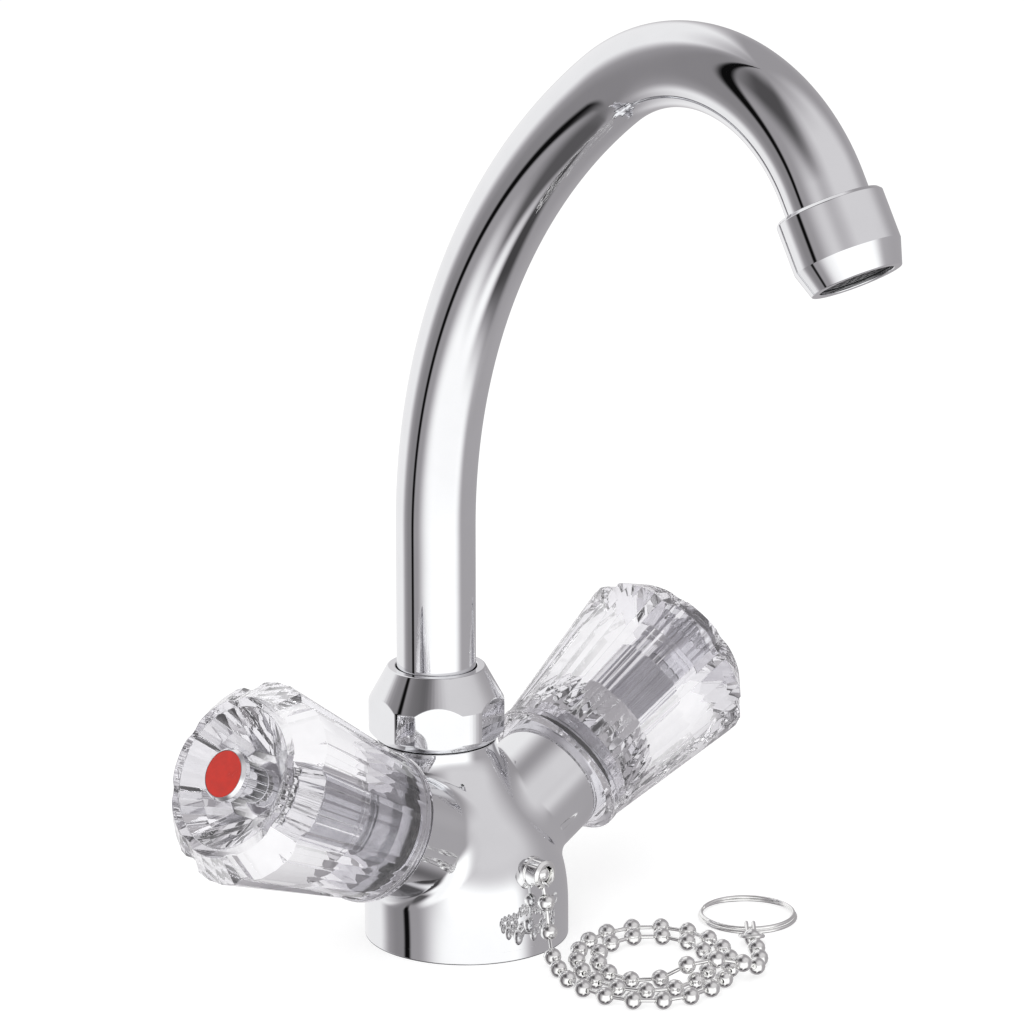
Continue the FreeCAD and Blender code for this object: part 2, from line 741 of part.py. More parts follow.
def jumper(name, side):
    """Sliding plate with its stem, the rubber washer that closes the seat, and the washer's screw."""
    screw_end = f"({PLATE_LOW} + jumper_plate/2)"
    plate = [
        ("0", screw_end),
        ("washer_screw_radius + fit", screw_end),
        ("washer_screw_radius + fit", PLATE_LOW),
        ("jumper_radius", PLATE_LOW),
        ("jumper_radius", PLATE_TOP),
        ("jumper_stem_radius", PLATE_TOP),
        ("jumper_stem_radius", f"{PLATE_TOP} + jumper_stem_length"),
        ("0", f"{PLATE_TOP} + jumper_stem_length"),
    ]
    node(on_arm(turned(f"{name}_plate", plate), side), f"{name}_jumper")
    rubber = ring_outline("washer_screw_radius + fit", "jumper_washer_radius", WASHER_LOW, PLATE_LOW)
    node(on_arm(turned(f"{name}_rubber", rubber), side), f"{name}_jumper_washer")
    screw = [
        ("0", f"{WASHER_LOW} - washer_screw_radius"),
        ("washer_screw_head", f"{WASHER_LOW} - washer_screw_radius"),
        ("washer_screw_head", WASHER_LOW),
        ("washer_screw_radius", WASHER_LOW),
        ("washer_screw_radius", f"{screw_end} - fit"),
        ("0", f"{screw_end} - fit"),
    ]
    node(on_arm(turned(f"{name}_pin", screw), side), f"{name}_washer_screw")


# Knobs
def lobed_ring(radius, flute, height):
    """A closed polygon of flat lands with a shallow V flute between each pair."""
    step = 2 * math.pi / KNOB_LOBES
    half_land = math.radians(value("knob_land_angle")) / 2
    points = []
    for lobe in range(KNOB_LOBES):
        middle = lobe * step
        for angle, reach in (
            (middle - half_land, radius),
            (middle + half_land, radius),
            (middle + step / 2, radius - flute),
        ):
            points.append(Vector(reach * math.cos(angle), reach * math.sin(angle), height))
    return Part.makePolygon(points + points[:1])


def knob(name, side):
    """Clear faceted knob, hollow over the headwork, fluted outside and dished on its face."""
    rim = value(KNOB_RIM)
    mouth = "(arm_radius + knob_mouth_gap)"
    rim_radius = value(f"{mouth} + knob_rim_wall")
    wide = value(f"{KNOB_FACE} - knob_bevel")
    rings = [
        lobed_ring(rim_radius, 0, rim),
        lobed_ring(rim_radius, 0, rim + value("knob_rim_band")),
        lobed_ring(value("knob_wide_radius"), value("knob_flute_depth"), wide),
        lobed_ring(value("knob_face_radius"), value("knob_face_flute"), value(KNOB_FACE)),
    ]
    shell = doc.addObject("Part::Feature", f"{name}_knob_outside")
    shell.Shape = Part.makeLoft(rings, True, True)
    core = [
        ("0", f"{KNOB_RIM} - 1"),
        (mouth, f"{KNOB_RIM} - 1"),
        (mouth, f"{KNOB_RIM} + knob_mouth_depth"),
        ("knob_shoulder_radius", KNOB_SHOULDER),
        ("bush_radius", KNOB_SHOULDER),
        ("bush_radius", BUSH_END),
        ("cap_stem_radius + fit", BUSH_END),
        ("cap_stem_radius + fit", RECESS_FLOOR),
        ("recess_floor_radius", RECESS_FLOOR),
        ("recess_face_radius", KNOB_FACE),
        ("recess_face_radius", f"{KNOB_FACE} + 1"),
        ("0", f"{KNOB_FACE} + 1"),
    ]
    hollow = combined("Cut", f"{name}_knob_cut", shell, turned(f"{name}_knob_core", core))
    node(on_arm(hollow, side), f"{name}_knob")


def knob_fittings(name, side):
    """Splined bush, retaining screw, silver cap on its stem, and the coloured disc."""
    spline_start = f"({SPINDLE_END} - spline_length)"
    bush = [
        ("stem_radius + fit", KNOB_SHOULDER),
        ("bush_radius - fit", KNOB_SHOULDER),
        ("bush_radius - fit", f"{BUSH_END} - fit"),
        ("knob_screw_radius + fit", f"{BUSH_END} - fit"),
        ("knob_screw_radius + fit", f"{SPINDLE_END} + fit"),
        ("spline_radius + fit", f"{SPINDLE_END} + fit"),
        ("spline_radius + fit", f"{spline_start} + fit"),
        ("stem_radius + fit", f"{spline_start} + fit"),
    ]
    node(on_arm(turned(f"{name}_bush", bush), side), f"{name}_knob_bush")
    head_top = f"({BUSH_END} + knob_screw_head_height)"
    screw = [
        ("0", f"{spline_start} + slack"),
        ("knob_screw_radius", f"{spline_start} + slack"),
        ("knob_screw_radius", BUSH_END),
        ("knob_screw_head", BUSH_END),
        ("knob_screw_head", head_top),
        ("0", head_top),
    ]
    node(on_arm(turned(f"{name}_screw", screw), side), f"{name}_knob_screw")
    seat = f"{CAP_FACE} - disc_thickness"
    cap = [
        ("0", f"{head_top} + slack"),
        ("cap_stem_radius", f"{head_top} + slack"),
        ("cap_stem_radius", f"{CAP_FACE} - cap_thickness"),
        ("cap_radius", f"{CAP_FACE} - cap_thickness"),
        ("cap_radius", CAP_FACE),
        ("disc_radius + fit", CAP_FACE),
        ("disc_radius + fit", seat),
        ("0", seat),
    ]
    node(on_arm(turned(f"{name}_cap", cap), side), f"{name}_index_cap")
    disc = [("0", seat), ("disc_radius", seat), ("disc_radius", CAP_FACE), ("0", CAP_FACE)]
    node(on_arm(turned(f"{name}_disc", disc), side), f"{name}_index_disc")


# Plug chain
def chain_eyelet():
    """Cup on a pressed-in shank that holds the first bead, slotted below for the chain."""
    cavity = "(bead_radius + slack)"
    outside = f"({cavity} + eyelet_wall)"
    length = "(eyelet_floor + 2*bead_radius)"
    cup = [
        ("0", "-eyelet_shank_length"),
        ("eyelet_shank_radius", "-eyelet_shank_length"),
        ("eyelet_shank_radius", "0"),
        (outside, "0"),
        (outside, length),
        (cavity, length),
        (cavity, "eyelet_floor"),
        ("0", "eyelet_floor"),
    ]
    slot = primitive(
        "Box",
        "eyelet_slot",
        Length="eyelet_slot",
        Width=f"{outside} + 1",
        Height=length,
        Placement__Base__x="-eyelet_slot/2",
        Placement__Base__y=f"-{outside} - 1",
        Placement__Base__z="eyelet_floor + bead_radius/2",
    )
    obj = combined("Cut", "eyelet", turned("eyelet_cup", cup), slot)
    obj.Placement = Placement(Vector(), Rotation(Vector(1, 0, 0), 90))
    bind(obj, Placement__Base__y=f"-{EYELET_SEAT}", Placement__Base__z="eyelet_height")
    return node(obj, "chain_eyelet")


def on_coil(right, away, up):
    """A point given from the coil's centre, to the right, away from the viewer and up."""
    turn = Rotation(Vector(0, 0, 1), value("coil_turn"))
    return turn.multVec(Vector(right, away, 0)) + Vector(value("coil_x"), value("coil_y"), up)


def chain_route():
    """The chain's centre line: down from the eyelet, round the flat coil, over it and out."""
    floor = value("bead_radius")
    cup_bead = value(f"{EYELET_SEAT} + eyelet_floor + bead_radius + slack")
    points = [Vector(0, -cup_bead, value("eyelet_height"))]
    points += [Vector(*point) for point in LEAD]
    steps = int(COIL_TURNS * COIL_STEPS)
    for step in range(steps + 1):
        turn = step / COIL_STEPS
        reach = value("coil_radius") - value("coil_pitch") * turn
        angle = math.pi * (1 + 2 * turn)
        away = value("coil_stretch") * reach * math.sin(angle)
        points.append(on_coil(reach * math.cos(angle), away, floor))
    points += [on_coil(*point) for point in TAIL]
    route = Part.BSplineCurve()
    route.interpolate(points)
    return route.toShape()


def plug_chain():
    """Ball chain: hollow beads on short wire links, each piece by itself."""
    route = chain_route()
    radius = value("bead_radius")
    count = round(route.Length / value("bead_pitch")) + 1
    centres = [
        Vector(point.x, point.y, max(point.z, radius)) for point in route.discretize(Number=count)
    ]
    beads = [Part.makeSphere(radius, centre) for centre in centres]
    links = []
    inset = radius + value("link_gap")
    for start, end in zip(centres, centres[1:]):
        run = end - start
        heading = Vector(run).normalize()
        length = run.Length - 2 * inset
        links.append(Part.makeCylinder(value("link_radius"), length, start + heading * inset, heading))
    gap = min(
        (centres[i] - centres[j]).Length - 2 * radius for i in range(count) for j in range(i + 2, count)
    )
    print(f"plug chain: {count} beads over {route.Length:.1f} mm, least gap between turns {gap:.2f} mm")
    for name, solids in (("chain_beads", beads), ("chain_links", links)):
        obj = doc.addObject("Part::Feature", f"{name}_solids")
        obj.Shape = Part.makeCompound(solids)
        node(obj, name)
    return centres[-1]


def rounded_wire(points, radii):
    """Straight runs joined by arcs that are tangent to both."""
    edges = []
    start = points[0]
    for before, corner, after, radius in zip(points, points[1:], points[2:], radii):
        back = Vector(before - corner).normalize()
        ahead = Vector(after - corner).normalize()
        half = back.getAngle(ahead) / 2
        inward = Vector(back + ahead).normalize()
        first = corner + back * (radius / math.tan(half))
        crest = corner + inward * (radius / math.sin(half) - radius)
        last = corner + ahead * (radius / math.tan(half))
        edges.append(Part.LineSegment(start, first).toShape())
        edges.append(Part.Arc(first, crest, last).toShape())
        start = last
    edges.append(Part.LineSegment(start, points[-1]).toShape())
    return Part.Wire(edges)


def clip_and_ring(bead):
    """Wire clip round the last bead and over its link, with both ends bent down over the ring."""
    wire = value("clip_wire_radius")
    thick = value("ring_wire_radius")
    loop = value("bead_radius + clip_wire_radius + slack")
    half_gap = value("clip_gap") / 2
    reach = value("clip_reach")
    over = 2 * thick + wire + 3 * value("slack")
    lifted = bead.z + wire + value("link_radius + 2*slack")
    turn = Rotation(Vector(0, 0, 1), value("coil_turn"))
    half_route = [
        (half_gap, reach + 2 * thick, wire),
        (half_gap, reach + 2 * thick, over),
        (half_gap, reach - 2 * thick, over),
        (half_gap, loop + 2 * wire, bead.z),
        (loop, loop / 2, bead.z),
        (loop, -loop, lifted),
    ]
    mirrored = [(-across, along, up) for across, along, up in reversed(half_route)]
    points = [
        turn.multVec(Vector(across, along, 0)) + Vector(bead.x, bead.y, up)
        for across, along, up in half_route + mirrored
    ]
    bends = [2 * wire, 2 * wire, 2 * wire, 2 * wire, 0.95 * loop]
    path = rounded_wire(points, bends + bends[::-1])
    section = Part.Wire([Part.makeCircle(wire, points[0], Vector(0, 0, 1))])
    clip = doc.addObject("Part::Feature", "clip_wire")
    clip.Shape = path.makePipeShell([section], True, False)
    node(clip, "chain_clip")
    centre = turn.multVec(Vector(0, reach + value("ring_radius"), 0)) + Vector(bead.x, bead.y, thick)
    ring = primitive("Torus", "ring", centre, Radius1="ring_radius", Radius2="ring_wire_radius")
    node(ring, "plug_ring")


tap_body()
base_gasket()
spout_nut()
spout_rings()
spout_tube()
spout_foot()
aerator()
for valve_name, valve_side in SIDES:
    bonnet(valve_name, valve_side)
    spindle(valve_name, valve_side)
    jumper(valve_name, valve_side)
    knob(valve_name, valve_side)
    knob_fittings(valve_name, valve_side)
chain_eyelet()
last_bead = plug_chain()
clip_and_ring(last_bead)

doc.recompute()
for item in doc.Objects:
    if "Invalid" in item.State or "Error" in item.State:
        raise RuntimeError(f"{item.Name} did not build: {item.State}")
for item in nodes:
    if item.Shape.isNull() or not item.Shape.isValid():
        raise RuntimeError(f"{item.Label} has no valid shape")

os.makedirs("parts", exist_ok=True)
for item in nodes:
    item.Shape.exportStep(os.path.join("parts", f"{item.Label}.step"))
    print(f"{item.Label}: {len(item.Shape.Solids)} solid(s), {item.Shape.Volume:.2f} mm3")
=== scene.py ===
"""Basin mixer tap: chrome casting, swan-neck spout, clear faceted knobs and a plug chain.

Sizes in the shape functions are millimetres in the tap's own frame, and meshes are written in metres.
"""

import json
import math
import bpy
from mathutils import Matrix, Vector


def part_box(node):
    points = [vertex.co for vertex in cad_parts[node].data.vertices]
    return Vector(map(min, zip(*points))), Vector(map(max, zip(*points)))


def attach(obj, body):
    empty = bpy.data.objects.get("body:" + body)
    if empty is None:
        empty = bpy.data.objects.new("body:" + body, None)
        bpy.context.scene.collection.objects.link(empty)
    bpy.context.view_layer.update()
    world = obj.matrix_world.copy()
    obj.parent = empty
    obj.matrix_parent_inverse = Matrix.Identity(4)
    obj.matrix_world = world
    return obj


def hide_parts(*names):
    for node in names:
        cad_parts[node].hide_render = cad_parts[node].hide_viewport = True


bl_info = {
    "name": "Basin mixer tap",
    "version": (1, 0, 0),
    "blender": (4, 5, 0),
    "location": "View3D > Sidebar > Mixer tap",
    "description": "Chrome basin mixer tap with clear knobs and a plug chain",
    "category": "Add Mesh",
}

import bpy
import numpy as np

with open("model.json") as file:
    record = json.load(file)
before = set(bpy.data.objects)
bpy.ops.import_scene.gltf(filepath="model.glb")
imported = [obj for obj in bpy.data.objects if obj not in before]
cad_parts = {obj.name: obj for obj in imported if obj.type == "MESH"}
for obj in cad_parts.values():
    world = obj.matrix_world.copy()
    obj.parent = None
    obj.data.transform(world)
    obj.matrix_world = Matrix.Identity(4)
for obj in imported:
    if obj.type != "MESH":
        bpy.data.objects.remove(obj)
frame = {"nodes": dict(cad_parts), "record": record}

MM = 0.001

# Casting
BASE_RADIUS = 25.8
BASE_BORE = 24.3
SKIRT_HEIGHT = 3.0
FLARE_TOP = 48.5
FLARE_LAG = 1.7
NECK_RADIUS = 15.1
NECK_HEIGHT = 49.0
SETBACK = BASE_RADIUS - NECK_RADIUS
ARM_ANGLE = math.radians(27.1)
ARM_HEIGHT = 18.9
ARM_RADIUS = 15.2
ARM_LENGTH = 38.0
COLLAR_BORE = 13.4
CREASE_HEIGHT = 32.0
CREASE_RISE = 10.0

# Spout
TUBE_RADIUS = 10.0
TUBE_BORE = 9.0
TUBE_FOOT = 39.5
TUBE_STRAIGHT = 103.9
SWEEP_RADIUS = 146.6
SWEEP_ANGLE = math.radians(53.7)
CROOK_RADIUS = 45.0
CROOK_ANGLE = math.radians(97.3)
TIP_LENGTH = 4.4
TIP_ENGAGEMENT = 9.0

# Knobs: the lobes round each one, and distances out along the arm
KNOB_LOBES = 8
KNOB_RIM = 35.6
KNOB_WIDE = 82.0
KNOB_FACE = 88.0
CAP_FOOT = 76.1
CAP_FACE = 91.4
DISC_SEAT = CAP_FACE - 0.5

# Plug chain and its cup, whose floor is a distance in front of the middle and whose seat is a radius
BEAD_RADIUS = 2.25
BEAD_COUNT = 49
LINK_INSET = 1.7
CUP_HEIGHT = 21.6
CUP_FLOOR = 22.8
CUP_SEAT = 4.2
COIL_CENTRE = (11.9, -52.2)
COIL_TURN = math.radians(-45.0)
COIL_RADIUS = 23.0
COIL_PITCH = 5.2
COIL_STRETCH = 1.28
COIL_POINTS = 28
COIL_STEPS = 12
# A smooth line runs inside its points, so the coil's stand this much further out
COIL_SWELL = 1.034

# Each knob's name, side and enamel
SIDES = (("hot", -1, "red_enamel"), ("cold", 1, "blue_enamel"))

# Outlines of turned pieces, as (radius, height) corners
AERATOR_OUTLINE = (
    (11.05, 0.0), (11.95, 0.0), (12.75, 0.8), (12.75, 12.5), (10.85, 18.5),
    (8.9, 18.5), (8.9, 17.45), (9.45, 17.45), (9.45, 11.0), (11.05, 11.0),
)
CUP_WALL_OUTLINE = ((2.35, 1.2), (2.35, 5.7), (3.0, 5.7), (3.8, 5.1), (3.5, 4.6), (3.5, 1.6), (3.8, 1.2))
CUP_FLOOR_OUTLINE = ((0.0, -7.0), (2.0, -7.0), (2.0, 0.0), (3.8, 0.0), (3.8, 1.2), (0.0, 1.2))
CAP_OUTLINE = (
    (0.0, CAP_FOOT), (4.4, CAP_FOOT), (4.4, 87.4), (5.0, 88.8), (6.6, 88.8), (6.6, CAP_FACE - 0.9),
    (5.95, CAP_FACE - 0.02), (5.8, CAP_FACE - 0.02), (5.8, DISC_SEAT), (0.0, DISC_SEAT),
)
DISC_OUTLINE = ((0.0, DISC_SEAT), (5.75, DISC_SEAT), (5.75, CAP_FACE - 0.05), (0.0, CAP_FACE))

# The photograph's view: angles, distance in metres, lens, and the point looked at
VIEW_AZIMUTH = math.radians(-45)
VIEW_HEIGHT = math.radians(15)
VIEW_DISTANCE = 1.1532
VIEW_LENS = 163.4
VIEW_TARGET = (8.14, -8.14, 109.88)

# Studio, in metres, and its plain tones
FLOOR_TONE = 0.5
FLOOR_GLOW = 0.65
VEIL_TONE = 0.85
WALL_REACH = 2.5
LAMP_SIZE = 0.9
LAMP_PLACE = (-1.1, -0.5, 1.2)
LAMP_AIM = (1.1, 0.5, -1.1)

# Colour sockets of a Mix node, whose names its other sockets share
MIX_FIRST, MIX_SECOND, MIX_RESULT = 6, 7, 2


class TapShape(bpy.types.PropertyGroup):
    edge_radius: bpy.props.FloatProperty(
        name="Edge radius",
        description="Rounding of turned and milled edges",
        default=0.0003,
        min=0.00005,
        max=0.001,
        unit="LENGTH",
    )
    crease_radius: bpy.props.FloatProperty(
        name="Crease radius",
        description="Fillet where a valve arm meets the flared body",
        default=0.0025,
        min=0.001,
        max=0.006,
        unit="LENGTH",
    )
    crease_top_radius: bpy.props.FloatProperty(
        name="Crease radius at the neck",
        description="Fillet where the top of a valve arm meets the neck",
        default=0.002,
        min=0.001,
        max=0.003,
        unit="LENGTH",
    )
    knob_flute: bpy.props.FloatProperty(
        name="Knob flutes",
        description="Depth of the fine flutes down the hollow of a clear knob",
        default=0.0003,
        min=0.0,
        max=0.0006,
        unit="LENGTH",
    )


class TapFinish(bpy.types.PropertyGroup):
    chrome: bpy.props.FloatVectorProperty(
        name="Chrome",
        description="Colour of the chrome plate",
        default=(0.88, 0.885, 0.9),
        subtype="COLOR",
    )
    nickel: bpy.props.FloatVectorProperty(
        name="Nickel",
        description="Colour of the chain and its ring",
        default=(0.96, 0.96, 0.95),
        subtype="COLOR",
    )
    hot_mark: bpy.props.FloatVectorProperty(
        name="Hot mark",
        description="Enamel of the hot disc",
        default=(0.62, 0.035, 0.022),
        subtype="COLOR",
    )
    cold_mark: bpy.props.FloatVectorProperty(
        name="Cold mark",
        description="Enamel of the cold disc",
        default=(0.02, 0.09, 0.5),
        subtype="COLOR",
    )
    # Painted glow: an emission makes the clear knobs give off light of their own, though they are no lamp
    painted_clear_glow: bpy.props.FloatProperty(
        name="Painted clear glow",
        description="Light that the clear pieces give back each time it crosses their skin",
        default=0.015,
        min=0.0,
        max=0.2,
    )
    polish: bpy.props.FloatProperty(
        name="Polish",
        description="Roughness of the chrome plate",
        default=0.03,
        min=0.0,
        max=0.5,
        subtype="FACTOR",
    )


class TapStudio(bpy.types.PropertyGroup):
    lamp_power: bpy.props.FloatProperty(
        name="Lamp power",
        description="Power of the large soft lamp",
        default=9.0,
        min=0.0,
        unit="POWER",
    )
    room_light: bpy.props.FloatProperty(
        name="Room light",
        description="Light of the white room on matt surfaces",
        default=0.75,
        min=0.0,
    )
    clear_veil: bpy.props.FloatProperty(
        name="Clear veil",
        description="How far the studio's dark flats are lightened where they show through clear pieces",
        default=0.1,
        min=0.0,
        max=1.0,
        subtype="FACTOR",
    )
    room_tone: bpy.props.FloatProperty(
        name="Room tone",
        description="Tone of the studio walls that the chrome shows",
        default=0.34,
        min=0.0,
    )


# Meshes
def unit(vectors):
    """Each vector divided by its length."""
    return vectors / np.linalg.norm(vectors, axis=-1, keepdims=True)


def eased(share):
    """A share of the way, made slow at both ends: 3u^2 - 2u^3."""
    return share * share * (3 - 2 * share)


def circle(sides):
    """Equal steps of angle round a full turn."""
    return np.linspace(0, 2 * math.pi, sides, endpoint=False)


def spun(radius, height, angle):
    """Points (r cos a, r sin a, z), where the radius and the height may change with the angle."""
    return np.stack(np.broadcast_arrays(radius * np.cos(angle), radius * np.sin(angle), height), -1)


def grid_faces(rows, columns, wrap_rows=False, wrap_columns=True):
    """Quads between neighbouring rows and columns of a grid of points."""
    i, j = np.meshgrid(
        np.arange(rows if wrap_rows else rows - 1),
        np.arange(columns if wrap_columns else columns - 1),
        indexing="ij",
    )
    below, right = (i + 1) % rows, (j + 1) % columns
    corners = (i * columns + j, i * columns + right, below * columns + right, below * columns + j)
    return np.stack(corners, -1).reshape(-1, 4)


def new_piece(name, surfaces, look):
    """A mesh object from (points, normals, quads) surfaces.

    A face is wound to agree with its normals, or with its surface's other faces where they cancel out,
    and a surface's equal points are welded.
    """
    points, normals, faces = [], [], []
    count = 0
    for surface_points, surface_normals, quads in surfaces:
        flat, facing = surface_points.reshape(-1, 3), surface_normals.reshape(-1, 3)
        corners = flat[quads]
        wound = np.cross(corners[:, 2] - corners[:, 0], corners[:, 3] - corners[:, 1])
        agreed = (wound * facing[quads].mean(1)).sum(1)
        backward = np.where(np.abs(agreed) > 1e-9, agreed, agreed.sum()) < 0
        quads = np.where(backward[:, None], quads[:, ::-1], quads)
        _, keep, place = np.unique(np.round(flat, 5), axis=0, return_index=True, return_inverse=True)
        quads = place.reshape(-1)[quads]
        pole_first = quads[:, 0] == quads[:, 1]
        pole_last = quads[:, 2] == quads[:, 3]
        whole = quads[~(pole_first | pole_last)]
        for part in (whole, quads[pole_first & ~pole_last][:, 1:], quads[pole_last & ~pole_first][:, :3]):
            faces += (part + count).tolist()
        points.append(flat[keep])
        normals.append(facing[keep])
        count += len(keep)
    mesh = bpy.data.meshes.new(name)
    mesh.from_pydata((np.concatenate(points) * MM).tolist(), [], faces)
    mesh.shade_smooth()
    mesh.normals_split_custom_set_from_vertices(np.concatenate(normals).tolist())
    return placed_object(name, mesh, look)


def placed_object(name, mesh, look):
    """An object at the origin that shows a mesh in the given finish."""
    mesh.materials.append(look)
    piece = bpy.data.objects.new(name, mesh)
    bpy.context.scene.collection.objects.link(piece)
    return piece


def faceted_piece(name, points, faces, bevel, look):
    """A closed flat-faced mesh with bevelled edges, wound so that its signed volume is positive."""
    points = points.reshape(-1, 3)
    corners = np.array([[face[0], face[1], face[2], face[-1]] for face in faces])
    first, second, third, last = (points[corners[:, index]] for index in range(4))
    volume = (np.cross(first, second) * third).sum() + (np.cross(first, third) * last).sum()
    if volume < 0:
        faces = [face[::-1] for face in faces]
    mesh = bpy.data.meshes.new(name)
    mesh.from_pydata((points * MM).tolist(), [], faces)
    mesh.validate()
    mesh.shade_smooth()
    piece = placed_object(name, mesh, look)
    rounding = piece.modifiers.new("edges", "BEVEL")
    rounding.width = bevel
    rounding.segments = 2
    rounding.limit_method = "ANGLE"
    rounding.angle_limit = math.radians(3)
    rounding.harden_normals = True
    return piece


def hide_from(piece, *rays):
    """Make a piece unseen by some kinds of rays."""
    for ray in rays:
        setattr(piece, f"visible_{ray}", False)


def stands_for(piece, body, slot, *nodes):
    """Let a piece move with a body in place of solid nodes. The slot is not used."""
    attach(piece, body)
    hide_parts(*nodes)


def arm_place(side):
    """Axes and origin of a valve piece drawn upright, with Z out along its arm."""
    lean = side * (math.pi / 2 - ARM_ANGLE)
    sine, cosine = math.sin(lean), math.cos(lean)
    return np.array([[cosine, 0, -sine], [0, 1, 0], [sine, 0, cosine], [0, 0, ARM_HEIGHT]])


def outlet_place():
    """Axes and origin of a piece on the outlet, with Z along the water's way out."""
    end, out = spout_line(np.array([spout_length() - TIP_ENGAGEMENT]))
    out = out[0]
    return np.array([[1, 0, 0], np.cross(out, [1, 0, 0]), out, end[0]])


def swung(start, end, turn, steps):
    """Vectors that turn at a steady rate: (sin((1 - s) t) start + sin(s t) end) / sin t."""
    turn = turn[:, None, None]
    share = np.linspace(0, 1, steps + 1)[None, :, None]
    leaving, coming = np.sin((1 - share) * turn), np.sin(share * turn)
    return (leaving * start[:, None] + coming * end[:, None]) / np.sin(turn)


def corner_arcs(before, corners, after, radii, longest, steps):
    """Arcs tangent to both runs at each corner, the runs' directions and the angles turned.

    No arc starts further from its corner than the longest reach.
    """
    back, ahead = unit(before - corners), unit(after - corners)
    half = np.arccos(np.clip((back * ahead).sum(1), -1, 1)) / 2
    reach = np.minimum(radii / np.tan(half), longest)
    centre = corners + unit(back + ahead) * (reach / np.cos(half))[:, None]
    start, end = (corners + way * reach[:, None] - centre for way in (back, ahead))
    turn = math.pi - 2 * half
    return centre[:, None] + swung(start, end, turn, steps), back, ahead, turn


def rounded_outline(corners, radius, steps=4):
    """The outline of (radius, height) corners with an arc tangent to both runs at each corner.

    Gives its points, its outward normals, and whether it closes on itself off the axis.
    """
    corners = np.array(corners, float)
    after = np.roll(corners, -1, 0)
    if (corners[:, 0] * after[:, 1] - after[:, 0] * corners[:, 1]).sum() < 0:
        corners = corners[::-1]
    before, after = np.roll(corners, 1, 0), np.roll(corners, -1, 0)
    shorter = np.minimum(np.linalg.norm(before - corners, axis=1), np.linalg.norm(after - corners, axis=1))
    points, back, ahead, turn = corner_arcs(before, corners, after, radius, 0.45 * shorter, steps)
    outward_in = np.stack([-back[:, 1], back[:, 0]], 1)
    outward_out = np.stack([ahead[:, 1], -ahead[:, 0]], 1)
    normals = swung(outward_in, outward_out, turn, steps)
    on_axis = np.flatnonzero(corners[:, 0] == 0)
    if len(on_axis) == 0:
        return points.reshape(-1, 2), normals.reshape(-1, 2), True
    top, low = on_axis[np.argmax(corners[on_axis, 1])], on_axis[np.argmin(corners[on_axis, 1])]
    inner = np.roll(np.arange(len(corners)), -low)[1:-1]

    def open_run(first, arcs, last):
        return np.concatenate([first[None], arcs[inner].reshape(-1, 2), last[None]])

    points = open_run(corners[low], points, corners[top])
    return points, open_run(outward_out[low], normals, outward_in[top]), False


def turned(corners, radius, place, angle, steps=4, whole=True):
    """Surface of a turned piece: (r cos a, r sin a, z) for each outline point (r, z) and angle a."""
    outline, normals, closed = rounded_outline(corners, radius, steps)
    points, facing = (
        spun(profile[:, :1], profile[:, 1:], angle) @ place[:3] for profile in (outline, normals)
    )
    return points + place[3], facing, grid_faces(len(outline), len(angle), closed, whole)


def ring_about(side, lift, sides):
    """Directions side * cos a + lift * sin a round each point of a line."""
    angle = circle(sides)[:, None]
    return side[..., None, :] * np.cos(angle) + lift[..., None, :] * np.sin(angle)


def wire_frames(path):
    """Headings along a path and two directions square to them, carried along it with no twist."""
    along = unit(np.gradient(path, axis=0))
    spare = np.eye(3)[np.argmin(np.abs(along[0]))]
    side = unit(np.cross(along[0], spare))
    sides = []
    for heading in along:
        side = unit(side - heading * (side @ heading))
        sides.append(side)
    sides = np.array(sides)
    return along, sides, np.cross(along, sides)


def wire(path, radius, sides=12, dome_rows=5):
    """Round wire: path + radius (cos a * side + sin a * lift), with domed ends."""
    along, side, lift = wire_frames(path)
    dome = np.linspace(0, math.pi / 2, dome_rows)
    fall, grow = np.cos(dome), np.sin(dome)
    start = path[:1] - along[:1] * radius * fall[:, None]
    end = path[-1:] + along[-1:] * radius * fall[::-1, None]
    centre = np.concatenate([start, path[1:-1], end])
    width = np.concatenate([grow, np.ones(len(path) - 2), grow[::-1]])
    lean = np.concatenate([-fall, np.zeros(len(path) - 2), fall[::-1]])
    pick = np.clip(np.arange(len(centre)) - dome_rows + 1, 0, len(path) - 1)
    pick[-dome_rows:] = len(path) - 1
    ring = ring_about(side[pick], lift[pick], sides)
    normals = ring * width[:, None, None] + along[pick][:, None] * lean[:, None, None]
    points = centre[:, None] + ring * (radius * width)[:, None, None]
    return points, normals, grid_faces(len(centre), sides)


def rounded_route(corners, radii, steps=8):
    """Straight runs joined by arcs of the given radii, as points."""
    corners = np.array(corners, float)
    arcs = corner_arcs(corners[:-2], corners[1:-1], corners[2:], np.array(radii), np.inf, steps)[0]
    return np.concatenate([corners[:1], arcs.reshape(-1, 3), corners[-1:]])


# Finishes
def add_node(tree, kind, values=(), **settings):
    """A shader node of a kind, with its settings and the values of its sockets."""
    node = tree.nodes.new("ShaderNode" + kind)
    for name, value in settings.items():
        setattr(node, name, value)
    for socket, value in dict(values).items():
        node.inputs[socket].default_value = value
    return node


def join(tree, *rows):
    """Link an output to an input for each (node, output, node, input) row."""
    for source, output, target, entry in rows:
        tree.links.new(source.outputs[output], target.inputs[entry])


